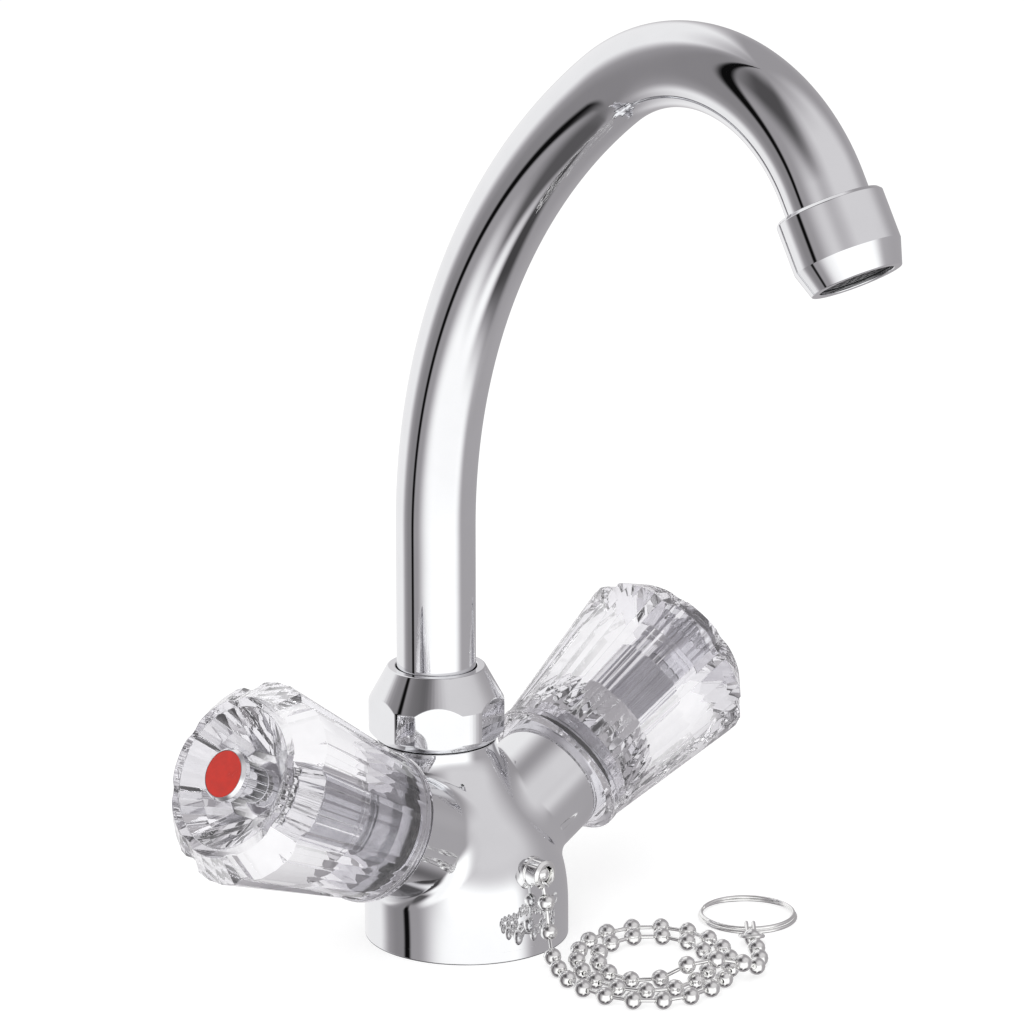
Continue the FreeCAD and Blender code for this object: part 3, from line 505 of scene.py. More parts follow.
def surface_group():
    """Node group of a finished surface: a faint drift of colour and roughness, and a shallow relief."""
    if "surface_drift" in bpy.data.node_groups:
        return bpy.data.node_groups["surface_drift"]
    group = bpy.data.node_groups.new("surface_drift", "ShaderNodeTree")
    sockets = (
        ("Colour", "INPUT", "Color"),
        ("Second colour", "INPUT", "Color"),
        ("Scale", "INPUT", "Float"),
        ("Smooth", "INPUT", "Float"),
        ("Rough", "INPUT", "Float"),
        ("Colour", "OUTPUT", "Color"),
        ("Roughness", "OUTPUT", "Float"),
        ("Height", "OUTPUT", "Float"),
    )
    for name, way, kind in sockets:
        group.interface.new_socket(name=name, in_out=way, socket_type="NodeSocket" + kind)
    given = group.nodes.new("NodeGroupInput")
    result = group.nodes.new("NodeGroupOutput")
    where = add_node(group, "TexCoord")
    drift = add_node(group, "TexNoise", {"Detail": 4.0, "Roughness": 0.6})
    spread = add_node(group, "MapRange", {"From Min": 0.35, "From Max": 0.65})
    tint = add_node(group, "Mix", data_type="RGBA")
    gloss = add_node(group, "MapRange", {"From Min": 0.3, "From Max": 0.7})
    join(
        group,
        (where, "Object", drift, "Vector"),
        (given, "Scale", drift, "Scale"),
        (drift, "Fac", spread, "Value"),
        (spread, "Result", tint, "Factor"),
        (given, "Colour", tint, MIX_FIRST),
        (given, "Second colour", tint, MIX_SECOND),
        (drift, "Fac", gloss, "Value"),
        (given, "Smooth", gloss, "To Min"),
        (given, "Rough", gloss, "To Max"),
        (tint, MIX_RESULT, result, "Colour"),
        (gloss, "Result", result, "Roughness"),
        (drift, "Fac", result, "Height"),
    )
    return group


def finish(name, colour, second, smooth, rough, scale, relief, sockets):
    """A material whose colour, roughness and relief drift over the surface."""
    material = bpy.data.materials.new(name)
    material.use_nodes = True
    material.diffuse_color = (*colour, 1)
    tree = material.node_tree
    shader = tree.nodes["Principled BSDF"]
    values = {
        "Colour": (*colour, 1),
        "Second colour": (*second, 1),
        "Scale": scale,
        "Smooth": smooth,
        "Rough": rough,
    }
    drift = add_node(tree, "Group", values, node_tree=surface_group())
    join(tree, (drift, "Colour", shader, "Base Color"), (drift, "Roughness", shader, "Roughness"))
    if relief:
        bump = add_node(tree, "Bump", {"Strength": 1.0, "Distance": relief})
        join(tree, (drift, "Height", bump, "Height"), (bump, "Normal", shader, "Normal"))
    for socket, value in sockets.items():
        shader.inputs[socket].default_value = value
    return material


def hide_afar(material):
    """Let mirrored rays pass through a material unseen where they come from over 40 mm away."""
    tree = material.node_tree
    ray = add_node(tree, "LightPath")
    far = add_node(tree, "MapRange", {"From Min": 0.03, "From Max": 0.05})
    unseen = add_node(tree, "Math", operation="MULTIPLY")
    seen = add_node(tree, "Math", {0: 1.0}, operation="SUBTRACT")
    join(
        tree,
        (ray, "Ray Length", far, "Value"),
        (far, "Result", unseen, 0),
        (ray, "Is Glossy Ray", unseen, 1),
        (unseen, 0, seen, 1),
        (seen, 0, tree.nodes["Principled BSDF"], "Alpha"),
    )


def finishes():
    """Every finish of the tap by its material slot, and two more: nickel wire and dark moulding."""
    look = bpy.context.scene.mixer_finish
    chrome, nickel, polish = np.array(look.chrome), np.array(look.nickel), look.polish
    hot, cold = np.array(look.hot_mark), np.array(look.cold_mark)
    dark, grey = (0.03, 0.031, 0.033), (0.36, 0.365, 0.37)
    plain, metal = {}, {"Metallic": 1.0}
    glaze = {"Coat Weight": 0.6, "Coat Roughness": 0.08}
    clear = {
        "IOR": 1.49,
        "Transmission Weight": 1.0,
        # Painted glow: a faint violet emission makes the clear knobs shine without any lamp
        "Emission Color": (0.94, 0.92, 0.96, 1),
        "Emission Strength": look.painted_clear_glow,
    }
    # Slot, material, two colours, lowest and highest roughness, scale, relief, the shader's own sockets
    rows = (
        ("chrome", "chrome_plate", chrome, chrome * 0.97, polish * 0.6, polish * 1.6, 60, 0, metal),
        ("steel", "satin_plate", chrome * 0.8, chrome * 0.7, 0.14, 0.24, 300, 0, metal),
        ("nickel", "nickel_wire", nickel, nickel * 0.94, 0.04, 0.1, 400, 0, metal),
        ("brass", "machined_brass", (0.62, 0.52, 0.32), (0.5, 0.41, 0.24), 0.22, 0.38, 500, 0, metal),
        ("rubber", "black_rubber", (0.02,) * 3, (0.035, 0.034, 0.032), 0.55, 0.75, 700, 0.00002, plain),
        ("slip_plastic", "white_acetal", (0.8, 0.8, 0.77), (0.72, 0.72, 0.69), 0.3, 0.42, 300, 0, plain),
        ("dark_plastic", "dark_moulding", dark, (0.05, 0.051, 0.054), 0.3, 0.5, 500, 0, plain),
        ("grey_plastic", "grey_moulding", grey, (0.3, 0.305, 0.31), 0.25, 0.4, 400, 0, plain),
        ("clear_acrylic", "cut_acrylic", (0.8, 0.79, 0.82), (0.7, 0.69, 0.72), 0.0, 0.012, 90, 0, clear),
        ("red_enamel", "red_glaze", hot, hot * 0.85, 0.16, 0.28, 420, 0, glaze),
        ("blue_enamel", "blue_glaze", cold, cold * 0.85, 0.16, 0.28, 420, 0, glaze),
    )
    made = bpy.data.materials
    if rows[0][1] in made:
        return {slot: made[name] for slot, name, *_ in rows}
    looks = {slot: finish(*row) for slot, *row in rows}
    hide_afar(looks["clear_acrylic"])
    return looks


# Stage
def bare_material(name):
    """A node material that holds nothing but its output, with its node tree and that output."""
    material = bpy.data.materials.new(name)
    material.use_nodes = True
    tree = material.node_tree
    tree.nodes.clear()
    return material, tree, add_node(tree, "OutputMaterial")


# Flats of the studio that the chrome shows: centre and half size in degrees, softness, and tone.
# Azimuth is counted from the camera, positive to its right, and height from the horizon.
STUDIO_FLATS = (
    ("left window", -145, 10, 30, 40, 20, 40, 0.92),
    ("left curtain", -80, 0, 4, 60, 16, 30, 0.25),
    ("front window", 25, -10, 32, 15, 50, 35, 1.25),
    ("right wall", 125, -10, 42, 15, 30, 35, 0.4),
    ("low window", 15, -40, 30, 12, 40, 30, 1.1),
    ("front ceiling", 60, 45, 30, 8, 45, 35, 0.7),
    ("dark ceiling", -38, 55, 10, 8, 32, 25, 0.08),
    ("right floor", 65, -70, 15, 10, 30, 25, 0.06),
    ("left floor", -35, -70, 20, 8, 30, 25, 0.1),
    ("black flag", -70, 25, 2, 55, 4, 30, 0.004),
)

# Faint violet cast of the studio's shaded flats in red, green, blue and alpha
ROOM_TINT = np.array([1.03, 0.99, 1.03, 1.0])


def cover(distance, half, soft):
    """One inside the half size, falling smoothly to nothing over the softness."""
    return eased(np.clip((half + soft - np.abs(distance)) / soft, 0, 1))


def studio_tone(azimuth, height, tone):
    """Tone of the studio towards each direction, as soft rectangles laid over a plain wall."""
    total = np.full(azimuth.shape, tone)
    for _, centre, level, half, rise, soft, soft_rise, flat in STUDIO_FLATS:
        across = (azimuth - centre + 180) % 360 - 180
        share = cover(across, half, soft) * cover(height - level, rise, soft_rise)
        total = total * (1 - share) + flat * share
    return total


def aimed(direction):
    """Turn of a camera or a lamp that looks along a direction."""
    return Vector(direction).to_track_quat("-Z", "Y").to_euler()


class MIXER_OT_stage(bpy.types.Operator):
    """Build the pale floor, the white room, the studio walls, the soft lamp and the camera."""

    bl_idname = "mixer.stage"
    bl_label = "Stage"

    def execute(self, context):
        scene = context.scene
        studio = scene.mixer_studio
        level = math.cos(VIEW_HEIGHT)
        towards = np.array(
            [math.sin(VIEW_AZIMUTH) * level, -math.cos(VIEW_AZIMUTH) * level, math.sin(VIEW_HEIGHT)]
        )
        self.camera(scene, towards)
        self.floor()
        self.room(scene, studio)
        self.walls(studio, towards)
        self.lamp(scene, studio)
        scene.view_settings.view_transform = "Standard"
        return {"FINISHED"}

    def camera(self, scene, towards):
        """The photograph's view, from its distance along the direction towards the camera."""
        lens = bpy.data.cameras.new("photo_camera")
        lens.lens = VIEW_LENS
        lens.sensor_width = 36
        lens.clip_end = 50
        camera = bpy.data.objects.new("photo_camera", lens)
        camera.location = np.array(VIEW_TARGET) * MM + towards * VIEW_DISTANCE
        camera.rotation_euler = aimed(-towards)
        scene.collection.objects.link(camera)
        scene.camera = camera

    def floor(self):
        """A flat disc just under the tap: rings of points at four radii, from nothing to 3.5 m."""
        reach, level = np.array([[0.0], [200.0], [900.0], [3500.0]]), -0.05
        points = spun(reach, level, circle(96))
        material, tree, output = bare_material("pale_floor")
        matt = add_node(tree, "BsdfDiffuse", {"Color": (*[FLOOR_TONE] * 3, 1)})
        glow = add_node(tree, "Emission", {"Strength": FLOOR_GLOW})
        both = add_node(tree, "AddShader")
        join(tree, (matt, 0, both, 0), (glow, 0, both, 1), (both, 0, output, "Surface"))
        upward = np.broadcast_to((0, 0, 1.0), points.shape)
        floor = new_piece("floor", [(points, upward, grid_faces(*points.shape[:2]))], material)
        hide_from(floor, "glossy", "diffuse")

    def room(self, scene, studio):
        """White to the camera, metal and glass, and a plain level of light on matt surfaces."""
        scene.world = bpy.data.worlds.new("white_room")
        scene.world.use_nodes = True
        tree = scene.world.node_tree
        background = tree.nodes["Background"]
        background.inputs["Color"].default_value = (1, 1, 1, 1)
        ray = add_node(tree, "LightPath")
        seen = add_node(tree, "Math", operation="MAXIMUM")
        shown = add_node(tree, "Math", operation="MAXIMUM")
        level = add_node(tree, "MapRange", {"To Min": studio.room_light, "To Max": 1.0})
        join(
            tree,
            (ray, "Is Camera Ray", seen, 0),
            (ray, "Is Glossy Ray", seen, 1),
            (seen, 0, shown, 0),
            (ray, "Is Transmission Ray", shown, 1),
            (shown, 0, level, "Value"),
            (level, "Result", background, "Strength"),
        )

    def walls(self, studio, towards):
        """Studio walls as a wide sphere: (cos h sin a, cos h cos a, sin h), toned by its flats."""
        height, azimuth = np.meshgrid(
            np.linspace(-90, 90, 181), np.linspace(-180, 180, 360, endpoint=False), indexing="ij"
        )
        front = unit(towards * (1, 1, 0))
        right = np.array([-front[1], front[0], 0])
        rise, sweep = np.radians(height)[..., None], np.radians(azimuth)[..., None]
        level = np.cos(sweep) * front + np.sin(sweep) * right
        outward = np.cos(rise) * level + np.sin(rise) * np.array([0, 0, 1.0])
        material, tree, output = bare_material("studio_walls")
        shade = add_node(tree, "Attribute", attribute_name="tone")
        ray = add_node(tree, "LightPath")
        veil = add_node(tree, "Math", {1: studio.clear_veil}, operation="MULTIPLY")
        soften = add_node(tree, "Mix", {MIX_SECOND: (*[VEIL_TONE] * 3, 1)}, data_type="RGBA")
        glow = add_node(tree, "Emission")
        join(
            tree,
            (ray, "Is Transmission Ray", veil, 0),
            (veil, 0, soften, "Factor"),
            (shade, "Color", soften, MIX_FIRST),
            (soften, MIX_RESULT, glow, "Color"),
            (glow, 0, output, "Surface"),
        )
        mesh = bpy.data.meshes.new("studio_walls")
        faces = grid_faces(*height.shape).tolist()
        mesh.from_pydata((outward * WALL_REACH).reshape(-1, 3).tolist(), [], faces)
        mesh.validate()
        mesh.shade_smooth()
        tone = studio_tone(azimuth, height, studio.room_tone).reshape(-1, 1)
        shaded = np.clip(1.5 * (1 - tone), 0, 1)
        colours = tone * (1 + shaded * (ROOM_TINT - 1))
        mesh.attributes.new("tone", "FLOAT_COLOR", "POINT").data.foreach_set("color", colours.ravel())
        walls = placed_object("studio_walls", mesh, material)
        hide_from(walls, "camera", "diffuse", "shadow")

    def lamp(self, scene, studio):
        """One large soft lamp above and to the left of the camera."""
        light = bpy.data.lights.new("soft_lamp", "AREA")
        light.energy = studio.lamp_power
        light.size = LAMP_SIZE
        lamp = bpy.data.objects.new("soft_lamp", light)
        lamp.location = LAMP_PLACE
        lamp.rotation_euler = aimed(LAMP_AIM)
        hide_from(lamp, "glossy", "transmission")
        scene.collection.objects.link(lamp)


# Plug chain
def as_seen(origin, right, away, up):
    """Points given from an origin as the photograph sees them: to the right, away and up."""
    sine, cosine = math.sin(COIL_TURN), math.cos(COIL_TURN)
    return np.stack(
        [origin[0] + right * cosine - away * sine, origin[1] + right * sine + away * cosine, up], -1
    )


def chain_route():
    """Points of the chain's line: down from the cup, round the flat coil, over it and out to the ring."""
    lead = [(0.0, -26.35, CUP_HEIGHT), (0.0, -28.4, 15.4), (-0.4, -29.4, 8.2), (-1.6, -31.9, 3.6)]
    turn = np.arange(COIL_POINTS) / COIL_STEPS
    reach = COIL_SWELL * (COIL_RADIUS - COIL_PITCH * turn)
    angle = math.pi * (1 + 2 * turn)
    right, away = reach * np.cos(angle), COIL_STRETCH * reach * np.sin(angle)
    coil = as_seen(COIL_CENTRE, right, away, np.full(COIL_POINTS, BEAD_RADIUS))
    tail = np.array(
        [
            (5.0, -14.5, 3.9), (10.5, -14.0, 7.4), (16.0, -13.5, 7.7),
            (20.6, -12.7, 7.2), (24.7, -9.8, 4.6), (27.0, -4.8, 2.5),
            (27.8, 1.6, 2.25), (27.4, 9.0, 2.25), (26.5, 16.5, 2.25),
        ]
    )
    return np.concatenate([lead, coil, as_seen(COIL_CENTRE, *tail.T)])


def smooth_line(points, name):
    """The points of a smooth curve that has the given points as its controls."""
    curve = bpy.data.curves.new(name, "CURVE")
    curve.dimensions = "3D"
    curve.resolution_u = 24
    spline = curve.splines.new("NURBS")
    spline.points.add(len(points) - 1)
    spline.points.foreach_set("co", np.concatenate([points, np.ones((len(points), 1))], 1).ravel())
    spline.order_u = 3
    spline.use_endpoint_u = True
    holder = bpy.data.objects.new(name, curve)
    bpy.context.scene.collection.objects.link(holder)
    line = bpy.data.meshes.new_from_object(holder)
    path = np.empty(len(line.vertices) * 3)
    line.vertices.foreach_get("co", path)
    bpy.data.objects.remove(holder)
    bpy.data.curves.remove(curve)
    bpy.data.meshes.remove(line)
    return path.reshape(-1, 3)


def spaced(path, count):
    """Points at equal steps along a line, and its length."""
    run = np.concatenate([[0], np.cumsum(np.linalg.norm(np.diff(path, axis=0), axis=1))])
    steps = np.linspace(0, run[-1], count)
    return np.stack([np.interp(steps, run, path[:, axis]) for axis in range(3)], 1), run[-1]


def square_to(along):
    """Two directions square to each of many directions."""
    spare = np.where(np.abs(along[:, 2:]) > 0.8, [[1.0, 0, 0]], [[0, 0, 1.0]])
    side = unit(np.cross(spare, along))
    return side, np.cross(along, side)


def strung(points, normals, starts, along, sides):
    """The same turned shape at many places: start + r cos a * side + r sin a * lift + z * along."""
    side, lift = square_to(along)
    around = ring_about(side[:, None], lift[:, None], sides)

    def carried(profile):
        return profile[:, :1, None] * around + profile[:, 1:, None] * along[:, None, None]

    placed = starts[:, None, None] + carried(points)
    first = np.arange(len(starts))[:, None, None] * len(points) * sides
    return placed, carried(normals), (grid_faces(len(points), sides) + first).reshape(-1, 4)


def bead_outline():
    """Hollow bead: a sphere with a rolled hole at each end, closed inside the hole."""
    polar = np.linspace(math.radians(21), math.radians(159), 11)
    ball = np.stack([np.sin(polar), -np.cos(polar)], 1)
    lip = np.array([(0.0, -1.6), (0.62, -1.65), (0.68, -2.0)])
    lip_facing = np.array([(0, -1.0), (-0.7, -0.7), (-0.3, -0.95)])
    points = np.concatenate([lip, BEAD_RADIUS * ball, lip[::-1] * (1, -1)])
    return points, unit(np.concatenate([lip_facing, ball, lip_facing[::-1] * (1, -1)]))


class MIXER_OT_chain(bpy.types.Operator):
    """Build the ball chain, the wire clip and the split ring of the plug."""

    bl_idname = "mixer.chain"
    bl_label = "Plug chain"

    def execute(self, context):
        nickel = finishes()["nickel"]
        path = smooth_line(chain_route(), "chain_line")
        beads, length = spaced(path, BEAD_COUNT)
        ahead = unit(np.diff(beads, axis=0))
        heading = unit(np.concatenate([ahead[:1], ahead[:-1] + ahead[1:], ahead[-1:]]))
        balls = strung(*bead_outline(), beads, heading, 16)
        pitch = length / (BEAD_COUNT - 1)
        rod = [(0.0, LINK_INSET), (0.5, LINK_INSET), (0.5, pitch - LINK_INSET), (0.0, pitch - LINK_INSET)]
        links = strung(*rounded_outline(rod, 0.05, 1)[:2], beads[:-1], ahead, 10)
        chain = new_piece("ball_chain", [balls, links], nickel)
        stands_for(chain, "tap_base", "steel", "chain_beads", "chain_links")

        bead = beads[-1]
        clip = self.clip(bead, nickel)
        ring = self.ring(nickel)
        return {"FINISHED"}

    def clip(self, bead, nickel):
        """Wire loop round the last bead and over its link, with both ends bent over the ring."""
        loop, gap, reach = 2.85, 0.9, 9.0
        half = [
            (gap, reach + 1.8, 0.5),
            (gap, reach + 1.8, 2.6),
            (gap, reach - 1.8, 2.6),
            (gap, loop + 1.0, bead[2]),
            (loop, loop / 2, bead[2]),
            (loop, -loop, bead[2] + 1.3),
        ]
        corners = np.array(half + [(-right, away, up) for right, away, up in reversed(half)])
        bends = [1.0, 1.0, 1.0, 1.0, 0.95 * loop]
        route = rounded_route(as_seen(bead, *corners.T), bends + bends[::-1])
        clip = new_piece("ring_clip", [wire(route, 0.5)], nickel)
        stands_for(clip, "tap_base", "steel", "chain_clip")
        return clip

    def ring(self, nickel):
        """Split ring: two turns of one wire, each a circle whose height climbs by the wire's width."""
        wire_radius, mean_reach, spread = 0.45, 12.0, 0.25
        low, high = (np.array(corner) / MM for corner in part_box("plug_ring"))
        centre = (low + high) / 2
        turn = np.linspace(0, 4 * math.pi, 192)
        climb = np.clip((turn / (2 * math.pi) - 0.85) / 0.3, 0, 1)
        reach = mean_reach + spread * np.cos(climb * math.pi)
        path = spun(reach, wire_radius + 2 * wire_radius * climb, turn + 2) + centre * (1, 1, 0)
        ring = new_piece("split_ring", [wire(path, wire_radius)], nickel)
        stands_for(ring, "tap_base", "steel", "plug_ring")
        return ring


class MIXER_OT_cup(bpy.types.Operator):
    """Build the slotted cup that holds the first bead of the chain."""

    bl_idname = "mixer.cup"
    bl_label = "Chain cup"

    def execute(self, context):
        place = np.array([[1, 0, 0], [0, 0, 1], [0, -1, 0], [0, -CUP_FLOOR, CUP_HEIGHT]])
        slot_width, slot_radius, columns = 1.8, 3.0, 72
        slot = math.asin(slot_width / 2 / slot_radius)
        angle = np.linspace(slot - math.pi / 2, 1.5 * math.pi - slot, columns)
        wall = turned(CUP_WALL_OUTLINE, 0.2, place, angle, 3, whole=False)
        surfaces = [turned(CUP_FLOOR_OUTLINE, 0.25, place, circle(columns)), wall]
        for column, way in ((0, 1), (-1, -1)):
            end = wall[0][:, column]
            middle = end.mean(0)
            outward = unit(np.cross(end[1] - middle, end[0] - middle) * way)
            fan = np.stack([end, np.broadcast_to(middle, end.shape)])
            surfaces.append((fan, np.broadcast_to(outward, fan.shape), grid_faces(*fan.shape[:2])))
        cup = new_piece("chain_cup", surfaces, finishes()["nickel"])
        stands_for(cup, "tap_base", "chrome", "chain_eyelet")
        return {"FINISHED"}


# Spout
def spout_length():
    """Length of the tube's centre line."""
    arcs = SWEEP_RADIUS * SWEEP_ANGLE + CROOK_RADIUS * CROOK_ANGLE
    return TUBE_STRAIGHT - TUBE_FOOT + arcs + TIP_LENGTH + TIP_ENGAGEMENT


def spout_line(run):
    """Points and headings at distances along the tube: straight, long arc, short arc and straight."""
    straight = TUBE_STRAIGHT - TUBE_FOOT
    first = np.clip((run - straight) / SWEEP_RADIUS, 0, SWEEP_ANGLE)
    rest = run - straight - SWEEP_RADIUS * SWEEP_ANGLE
    turn = first + np.clip(rest / CROOK_RADIUS, 0, CROOK_ANGLE)
    tip = np.maximum(rest - CROOK_RADIUS * CROOK_ANGLE, 0)
    away = SETBACK - SWEEP_RADIUS * (1 - np.cos(first)) - CROOK_RADIUS * (np.cos(first) - np.cos(turn))
    climb = SWEEP_RADIUS * np.sin(first) + CROOK_RADIUS * (np.sin(turn) - np.sin(first))
    height = TUBE_FOOT + np.minimum(run, straight) + climb
    heading = np.stack([np.zeros_like(run), -np.sin(turn), np.cos(turn)], -1)
    points = np.stack([np.zeros_like(run), away, height], -1) + tip[:, None] * heading
    return points, heading


class MIXER_OT_spout(bpy.types.Operator):
    """Build the bent chrome tube of the spout."""

    bl_idname = "mixer.spout"
    bl_label = "Spout"

    def execute(self, context):
        sides = 96
        centre, heading = spout_line(np.linspace(0, spout_length(), 260))
        across = np.broadcast_to([1.0, 0, 0], heading.shape)
        ring = ring_about(across, np.cross(heading, across), sides)
        outside = centre[:, None] + TUBE_RADIUS * ring
        bore = (centre[:, None] + TUBE_BORE * ring)[::-4]
        points = np.concatenate([outside, bore])
        normals = np.concatenate([ring, -ring[::-4]])
        faces = grid_faces(len(points), sides, wrap_rows=True)
        tube = new_piece("spout_skin", [(points, normals, faces)], finishes()["chrome"])
        stands_for(tube, "spout", "chrome", "spout_tube")
        return {"FINISHED"}


class MIXER_OT_aerator(bpy.types.Operator):
    """Build the screwed housing at the outlet."""

    bl_idname = "mixer.aerator"
    bl_label = "Aerator"

    def execute(self, context):
        rounding = context.scene.mixer_shape.edge_radius / MM
        shell = turned(AERATOR_OUTLINE, rounding, outlet_place(), circle(128))
        housing = new_piece("aerator_shell", [shell], finishes()["chrome"])
        stands_for(housing, "spout", "chrome", "aerator_housing")
        return {"FINISHED"}


class MIXER_OT_nut(bpy.types.Operator):
    """Build the union nut under the spout."""

    bl_idname = "mixer.nut"
    bl_label = "Union nut"

    def execute(self, context):
        points = self.points()
        faces = grid_faces(*points.shape[:2], wrap_rows=True).tolist()
        bevel = context.scene.mixer_shape.edge_radius
        nut = faceted_piece("union_nut", points, faces, bevel, finishes()["chrome"])
        stands_for(nut, "tap_base", "chrome", "spout_nut")
        return {"FINISHED"}

    def points(self):
        """Rows (r(a), z(a)): a turned nut whose side is cut at across-flats / (2 cos a) on six sides."""
        low, high, top, step = 49.2, 59.2, 68.0, 63.2
        radius, flat, chamfer = 17.2, 16.1, 2.2
        top_radius, throat, bore = 12.4, 10.3, 13.25
        turn = math.radians(47.8)
        corner = math.acos(flat / radius)
        sixth = np.concatenate(
            [np.linspace(-corner, corner, 13), np.linspace(corner, math.pi / 3 - corner, 7)[1:-1]]
        )
        angle = (np.arange(6)[:, None] * math.pi / 3 + sixth).ravel()
        local = (angle + math.pi / 6) % (math.pi / 3) - math.pi / 6
        side = np.minimum(flat / np.cos(local), radius)
        slope = (radius - top_radius) / (top - high)
        rows = (
            (bore, low),
            (radius - chamfer, low),
            (side, low + chamfer - (radius - side)),
            (side, high + (radius - side) / slope),
            (top_radius, top),
            (throat, top),
            (throat, step),
            (bore, step),
        )
        return np.stack([spun(r, z, angle + turn) for r, z in rows]) + (0, SETBACK, 0)


# Casting
def flare_ease(height):
    """Share of the way from base to neck and its rate: 3u^2 - 2u^3, with u = (share of the height)^lag."""
    share = np.clip((height - SKIRT_HEIGHT) / (FLARE_TOP - SKIRT_HEIGHT), 0, 1)
    late = share**FLARE_LAG
    rate = FLARE_LAG * share ** (FLARE_LAG - 1) / (FLARE_TOP - SKIRT_HEIGHT)
    return eased(late), 6 * late * (1 - late) * rate


def body_depth(points):
    """Distance outside the flared body, for points at any height."""
    ease, rate = flare_ease(points[..., 2])
    away = points[..., 1] - SETBACK * ease
    reach = np.hypot(points[..., 0], away)
    slope = SETBACK * rate * (1 - away / reach)
    return (reach - BASE_RADIUS + SETBACK * ease) / np.hypot(1, slope)


def in_arm(points, side):
    """Points as one arm's own, with Z out along it, and their distance from its axis."""
    place = arm_place(side)
    local = (points - place[3]) @ place[:3].T
    return local[..., 2], np.hypot(local[..., 0], local[..., 1])


def arm_depth(points, side):
    """Distance outside one arm, a half cylinder that starts on the body's middle line."""
    out, reach = in_arm(points, side)
    return np.maximum(reach - ARM_RADIUS, -out)


def crease(first, second, radius):
    """Union of two depths with a round fillet: max(r, least) less the length of what each lacks of r."""
    short = np.hypot(np.maximum(radius - first, 0), np.maximum(radius - second, 0))
    return np.maximum(radius, np.minimum(first, second)) - short


def casting_depth(points, wide, narrow):
    """Depth of the whole casting: the nearer arm joined to the body by a crease.

    The crease narrows from the wide radius to the narrow one towards the neck.
    """
    arms = np.minimum(arm_depth(points, -1), arm_depth(points, 1))
    share = eased(np.clip((points[..., 2] - CREASE_HEIGHT) / CREASE_RISE, 0, 1))
    return crease(arms, body_depth(points), wide + (narrow - wide) * share)


def slope_of(depth, points, step=0.01):
    """Slope of a depth at each point, from its change over a step to both sides along each axis."""
    ways = np.eye(3) * step
    return np.stack([(depth(points + way) - depth(points - way)) / (2 * step) for way in ways], -1)


def skin_of(depth, low, high, step):
    """Surface where a depth is zero: a point in each cell that it crosses, drawn onto it down the slope.

    A quad joins the four cells round each lattice edge that it crosses.
    """
    counts = np.ceil((high - low) / step).astype(int) + 1
    axes = [np.linspace(low[axis], high[axis], counts[axis]) for axis in range(3)]
    lattice = np.stack(np.meshgrid(*axes, indexing="ij"), -1)
    inside = depth(lattice) < 0
    cells = np.lib.stride_tricks.sliding_window_view(inside, (2, 2, 2))
    crossed = cells.any((3, 4, 5)) & ~cells.all((3, 4, 5))
    number = np.full(crossed.shape, -1)
    number[crossed] = np.arange(crossed.sum())
    spacing = np.array([axis[1] - axis[0] for axis in axes])
    points = lattice[:-1, :-1, :-1][crossed] + spacing / 2
    for _ in range(6):
        slope = slope_of(depth, points)
        points = points - slope * (depth(points) / (slope * slope).sum(-1))[:, None]
    quads = []
    for axis in range(3):
        first, second = (axis + 1) % 3, (axis + 2) % 3
        ahead = np.moveaxis(inside, (axis, first, second), (0, 1, 2))
        cells = np.moveaxis(number, (axis, first, second), (0, 1, 2))
        leaves = ahead[:-1, 1:-1, 1:-1] & ~ahead[1:, 1:-1, 1:-1]
        enters = ~ahead[:-1, 1:-1, 1:-1] & ahead[1:, 1:-1, 1:-1]
        ring = np.stack([cells[:, :-1, :-1], cells[:, 1:, :-1], cells[:, 1:, 1:], cells[:, :-1, 1:]], -1)
        quads += [ring[leaves], ring[enters][:, ::-1]]
    return points, unit(slope_of(depth, points)), np.concatenate(quads)


